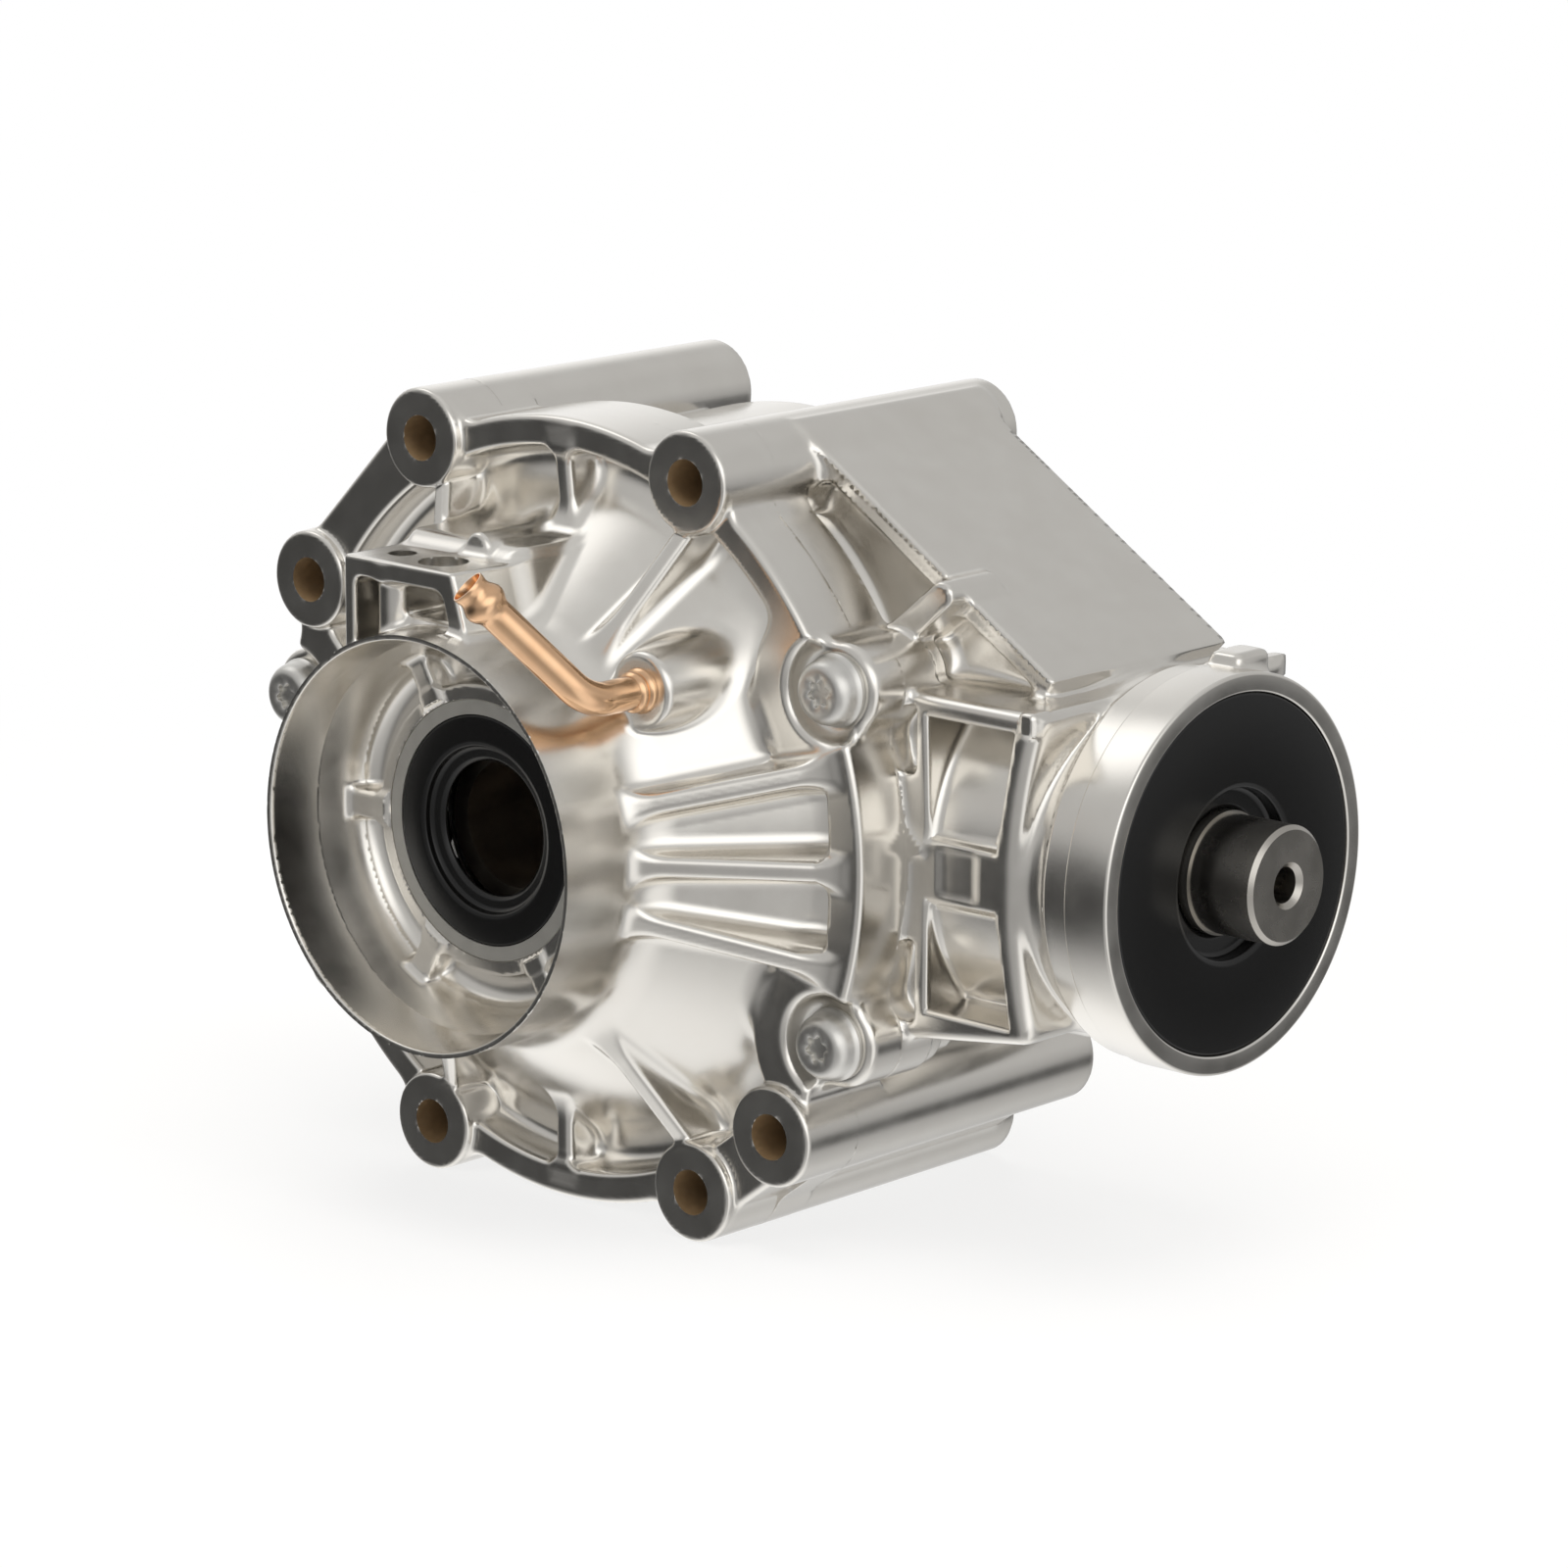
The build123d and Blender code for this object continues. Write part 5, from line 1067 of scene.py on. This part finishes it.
class DRIVE_OT_cover_screws(bpy.types.Operator):
    """Turn the cover screws, with their round flanged heads and six-lobed sockets"""
    bl_idname = "drive.cover_screws"
    bl_label = "Cover screws"

    def execute(self, context):
        section = [point[:2] for point in SCREW_SECTION]
        lobes = [point[2] for point in SCREW_SECTION]
        surfaces = [lathe(section, (EAR_FACE_X, y, z), (1, 0, 0), 72, lobes) for y, z in SCREWS]
        dress(join_surfaces("cover_screw_set", surfaces, 35.0), "screw_steel", "housing", "cover_screws")
        return {"FINISHED"}


class DRIVE_OT_breather(bpy.types.Operator):
    """Sweep the breather tube, with its rolled bead and root collars"""
    bl_idname = "drive.breather"
    bl_label = "Breather tube"

    def execute(self, context):
        start = Vector((BREATHER_FACE_X + TUBE_START_DEPTH, *BREATHER))
        corner = Vector((TUBE_CORNER_X, *BREATHER))
        end = Vector(TUBE_END)
        first, second = (corner - start).normalized(), (end - corner).normalized()
        turn = first.angle(second)
        normal = first.cross(second).normalized()
        trim = TUBE_BEND_R * np.tan(turn / 2)
        centre = corner - first * trim + normal.cross(first) * TUBE_BEND_R
        straight = (corner - start).length - trim
        bend = TUBE_BEND_R * turn
        length = straight + bend + (end - corner).length - trim

        def at(s):
            if s < straight:
                return start + first * s, first
            if s < straight + bend:
                spin = Matrix.Rotation((s - straight) / TUBE_BEND_R, 3, normal)
                return centre + spin @ (start + first * straight - centre), spin @ first
            return end - second * (length - s), second

        outer = list(TUBE_ROOT)
        outer += [(s, TUBE_R) for s in np.linspace(13.5, length - 9.6, 40)]
        outer += [(length - s, radius) for s, radius in TUBE_MOUTH]
        outer += [(s, TUBE_BORE_R) for s in np.linspace(length - 9.0, 2.0, 30)]
        rows = [at(s) for s, _ in outer]
        line = ([tuple(p) for p, _ in rows], [tuple(t) for _, t in rows], [tuple(normal)] * len(rows))
        tube = swept_tube(line, [radius for _, radius in outer])
        dress(join_surfaces("breather_pipe", [tube], 50.0), "bronze_tube", "housing", "breather_tube")
        return {"FINISHED"}


# Shaft seals: node, middle of the face, way in, then the radii of the rubber, its opening and its lip, the
# lip's depth and the seal's length
OUTPUT_SEAL = (27.79, 20.0, 16.2, 2.4, 7.99)
SEALS = (("output_seal_front", (FRONT_SEAL_X, 0, 0), (1, 0, 0), OUTPUT_SEAL),
         ("output_seal_rear", (REAR_HUB_X, 0, 0), (-1, 0, 0), OUTPUT_SEAL),
         ("pinion_seal", (0, NOSE_FRONT_Y + 0.35, 0), (0, 1, 0), (42.33, 20.0, 14.65, 4.2, 8.99)))


def seal_surface(front, axis, outer, opening, lip, depth, length):
    """Shaft seal: flat face, rounded shoulder into the opening, then the lip that runs on the shaft."""
    face = [(outer, length), (outer, 0.5), (outer - 0.5, 0.0), (opening + 1.4, 0.0),
            (opening + 0.9, 0.15), (opening + 0.25, 0.35), (opening, 1.0), (opening, depth - 0.6),
            (opening - 0.9, depth), (lip + 1.0, depth + 0.2), (lip + 0.1, depth + 0.9), (lip, depth + 1.3),
            (lip + 0.9, depth + 2.4), (lip + 2.2, depth + 2.8), (opening + 3.0, depth + 3.0),
            (opening + 3.0, length), (outer, length)]
    return lathe(round_off(face, 0.25, 3), front, axis, 128)


class DRIVE_OT_seals(bpy.types.Operator):
    """Turn the three shaft seals"""
    bl_idname = "drive.seals"
    bl_label = "Shaft seals"

    def execute(self, context):
        for node, front, axis, sizes in SEALS:
            surface = seal_surface(front, axis, *sizes)
            dress(join_surfaces(node + "_lip", [surface], 30.0), "black_rubber", "housing", node)
        return {"FINISHED"}


class DRIVE_OT_inner_parts(bpy.types.Operator):
    """Give every node that keeps its own shape its finish"""
    bl_idname = "drive.inner_parts"
    bl_label = "Inner parts"

    def execute(self, context):
        for name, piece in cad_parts.items():
            if piece.hide_render:
                continue
            slot = next((slot for words, slot in NODE_FINISH if words in name), OTHER_FINISH)
            piece.data.materials.clear()
            piece.data.materials.append(finish_for(slot))
        return {"FINISHED"}


class DRIVE_OT_stage(bpy.types.Operator):
    """Set up the floor, the studio that the metal reflects, the soft lamps, the world and the camera"""
    bl_idname = "drive.stage"
    bl_label = "Stage"

    def execute(self, context):
        values = context.scene.drive_stage
        self.add_floor(values.floor_size, CAD_BOX[0][2])
        self.add_studio()
        self.add_lamps()
        self.add_world()
        self.add_camera(values)
        context.scene.view_settings.view_transform = "Standard"
        return {"FINISHED"}

    def add_floor(self, size, height):
        """Pale plain floor with the unit's shadow, that runs into the white background farther out."""
        corners = ((-0.5, -0.5), (0.5, -0.5), (0.5, 0.5), (-0.5, 0.5))
        points = np.array([(u * size, v * size, height) for u, v in corners])
        floor = mesh_object("floor", points, np.array([[0, 1, 2, 3]]))
        material = blank_material("floor_paper")
        paper = add_node(material, "ShaderNodeBsdfDiffuse", {"Color": to_linear("#F4F4F3")})
        white = add_node(material, "ShaderNodeEmission", {"Color": (1.0, 1.0, 1.0, 1.0), "Strength": 1.0})
        place = add_node(material, "ShaderNodeTexCoord", {})
        distance = add_node(material, "ShaderNodeVectorMath", {0: place.outputs["Object"]},
                            operation="LENGTH")
        fade = add_node(material, "ShaderNodeMapRange",
                        {"Value": distance.outputs["Value"], "From Min": FLOOR_FADE[0],
                         "From Max": FLOOR_FADE[1], "To Min": FLOOR_WHITE, "To Max": 1.0},
                        interpolation_type="SMOOTHSTEP")
        path = add_node(material, "ShaderNodeLightPath", {})
        share = add_node(material, "ShaderNodeMath",
                         {0: path.outputs["Is Camera Ray"], 1: fade.outputs["Result"]},
                         operation="MULTIPLY")
        mixed = add_node(material, "ShaderNodeMixShader",
                         {0: share.outputs[0], 1: paper.outputs[0], 2: white.outputs[0]})
        add_node(material, "ShaderNodeOutputMaterial", {"Surface": mixed.outputs[0]})
        floor.data.materials.append(material)
        floor.visible_glossy = False

    def add_studio(self):
        """Round studio that only reflections see: greys by height, with soft boxes and two dark flags."""
        tilt = np.linspace(-90.0, 90.0, 91)[:, None]
        turn = np.arange(-180.0, 180.0, 2.5)[None, :]
        grey = np.interp(tilt, *zip(*STUDIO_TONES)) * np.ones_like(turn)
        for middle_turn, middle_tilt, half_turn, half_tilt, panel in STUDIO_PANELS:
            off = (turn - middle_turn + 180.0) % 360.0 - 180.0
            spread = (off / half_turn) ** 2 + ((tilt - middle_tilt) / half_tilt) ** 2
            grey = grey + (panel - grey) * np.exp(-spread ** 2)
        flat = np.cos(np.radians(tilt))
        points = STUDIO_R * np.stack([flat * np.sin(np.radians(turn)), -flat * np.cos(np.radians(turn)),
                                      np.sin(np.radians(tilt)) * np.ones_like(turn)], -1)
        studio = mesh_object("studio", points.reshape(-1, 3), grid_faces(*grey.shape))
        paint = studio.data.color_attributes.new("tone", "FLOAT_COLOR", "POINT")
        colour = np.ones((grey.size, 4))
        colour[:, :3] = grey.reshape(-1, 1)
        paint.data.foreach_set("color", colour.astype(np.float32).ravel())
        studio.visible_camera = studio.visible_diffuse = studio.visible_transmission = False
        studio.visible_shadow = studio.visible_volume_scatter = False
        material = blank_material("studio_paint")
        tone = add_node(material, "ShaderNodeAttribute", {}, attribute_name="tone")
        glow = add_node(material, "ShaderNodeEmission", {"Color": tone.outputs["Color"], "Strength": 1.0})
        add_node(material, "ShaderNodeOutputMaterial", {"Surface": glow.outputs[0]})
        studio.data.materials.append(material)

    def add_lamps(self):
        """Soft area lamps: a large one above, one at each side of the camera and one behind."""
        for name, place, size, power in LAMPS:
            light = bpy.data.lights.new(name, "AREA")
            light.shape = "DISK"
            light.size = size
            light.energy = power
            light.color = (1.0, 0.985, 0.965)
            lamp = bpy.data.objects.new(name, light)
            lamp.location = place
            lamp.rotation_euler = (-Vector(place)).to_track_quat("-Z", "Y").to_euler()
            lamp.visible_glossy = False
            bpy.context.scene.collection.objects.link(lamp)

    def add_world(self):
        """White world for the eye and for reflections, a soft grey-white one for the diffuse light."""
        world = bpy.data.worlds.new("studio")
        bpy.context.scene.world = world
        world.use_nodes = True
        world.node_tree.nodes.clear()
        path = add_node(world, "ShaderNodeLightPath", {})
        seen = path.outputs["Is Camera Ray"]
        for ray in ("Is Glossy Ray", "Is Transmission Ray"):
            either = add_node(world, "ShaderNodeMath", {0: seen, 1: path.outputs[ray]}, operation="MAXIMUM")
            seen = either.outputs[0]
        soft = add_node(world, "ShaderNodeBackground", {"Color": to_linear("#F2EFEA"), "Strength": 0.6})
        white = add_node(world, "ShaderNodeBackground", {"Color": (1.0, 1.0, 1.0, 1.0), "Strength": 1.0})
        mixed = add_node(world, "ShaderNodeMixShader", {0: seen, 1: soft.outputs[0], 2: white.outputs[0]})
        add_node(world, "ShaderNodeOutputWorld", {"Surface": mixed.outputs[0]})

    def add_camera(self, values):
        """Camera at the photograph's place, turned by a small roll."""
        azimuth, elevation = radians(values.azimuth), radians(values.elevation)
        back = Vector((sin(azimuth) * cos(elevation), -cos(azimuth) * cos(elevation), sin(elevation)))
        right = (-back).cross(Vector((0, 0, 1))).normalized()
        up = right.cross(-back)
        roll = radians(CAMERA_ROLL)
        turned_right = right * cos(roll) + up * sin(roll)
        turned_up = up * cos(roll) - right * sin(roll)
        data = bpy.data.cameras.new("camera")
        data.sensor_width = 36.0
        data.sensor_fit = "HORIZONTAL"
        data.lens = values.lens
        data.clip_end = 30.0
        camera = bpy.data.objects.new("camera", data)
        bpy.context.scene.collection.objects.link(camera)
        turn = Matrix((turned_right, turned_up, back)).transposed().to_4x4()
        camera.matrix_world = Matrix.Translation(Vector(CAMERA_PLACE)) @ turn
        bpy.context.scene.camera = camera


class DRIVE_PT_panel(bpy.types.Panel):
    """Sidebar panel with the sizes, colours and steps of the drive unit"""
    bl_idname = "DRIVE_PT_panel"
    bl_label = "Final drive unit"
    bl_space_type = "VIEW_3D"
    bl_region_type = "UI"
    bl_category = "Drive unit"

    def draw(self, context):
        scene = context.scene
        for group in (scene.drive_casting, scene.drive_finish, scene.drive_stage):
            for name in group.bl_rna.properties.keys():
                if name not in ("rna_type", "name"):
                    self.layout.prop(group, name)
        for operator in OPERATORS:
            self.layout.operator(operator.bl_idname)


OPERATORS = (DRIVE_OT_main_housing, DRIVE_OT_side_cover, DRIVE_OT_nose_ring, DRIVE_OT_cover_screws,
             DRIVE_OT_breather, DRIVE_OT_seals, DRIVE_OT_inner_parts, DRIVE_OT_stage)
GROUPS = (DriveCasting, DriveFinish, DriveStage)


def register():
    for item in GROUPS + OPERATORS + (DRIVE_PT_panel,):
        bpy.utils.register_class(item)
    bpy.types.Scene.drive_casting = bpy.props.PointerProperty(type=DriveCasting)
    bpy.types.Scene.drive_finish = bpy.props.PointerProperty(type=DriveFinish)
    bpy.types.Scene.drive_stage = bpy.props.PointerProperty(type=DriveStage)


def unregister():
    del bpy.types.Scene.drive_stage
    del bpy.types.Scene.drive_finish
    del bpy.types.Scene.drive_casting
    for item in reversed(GROUPS + OPERATORS + (DRIVE_PT_panel,)):
        bpy.utils.unregister_class(item)


def main():
    """Registers the add-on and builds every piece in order."""
    register()
    bpy.ops.drive.main_housing()
    bpy.ops.drive.side_cover()
    bpy.ops.drive.nose_ring()
    bpy.ops.drive.cover_screws()
    bpy.ops.drive.breather()
    bpy.ops.drive.seals()
    bpy.ops.drive.inner_parts()
    bpy.ops.drive.stage()


if __name__ == "__main__":
    main()
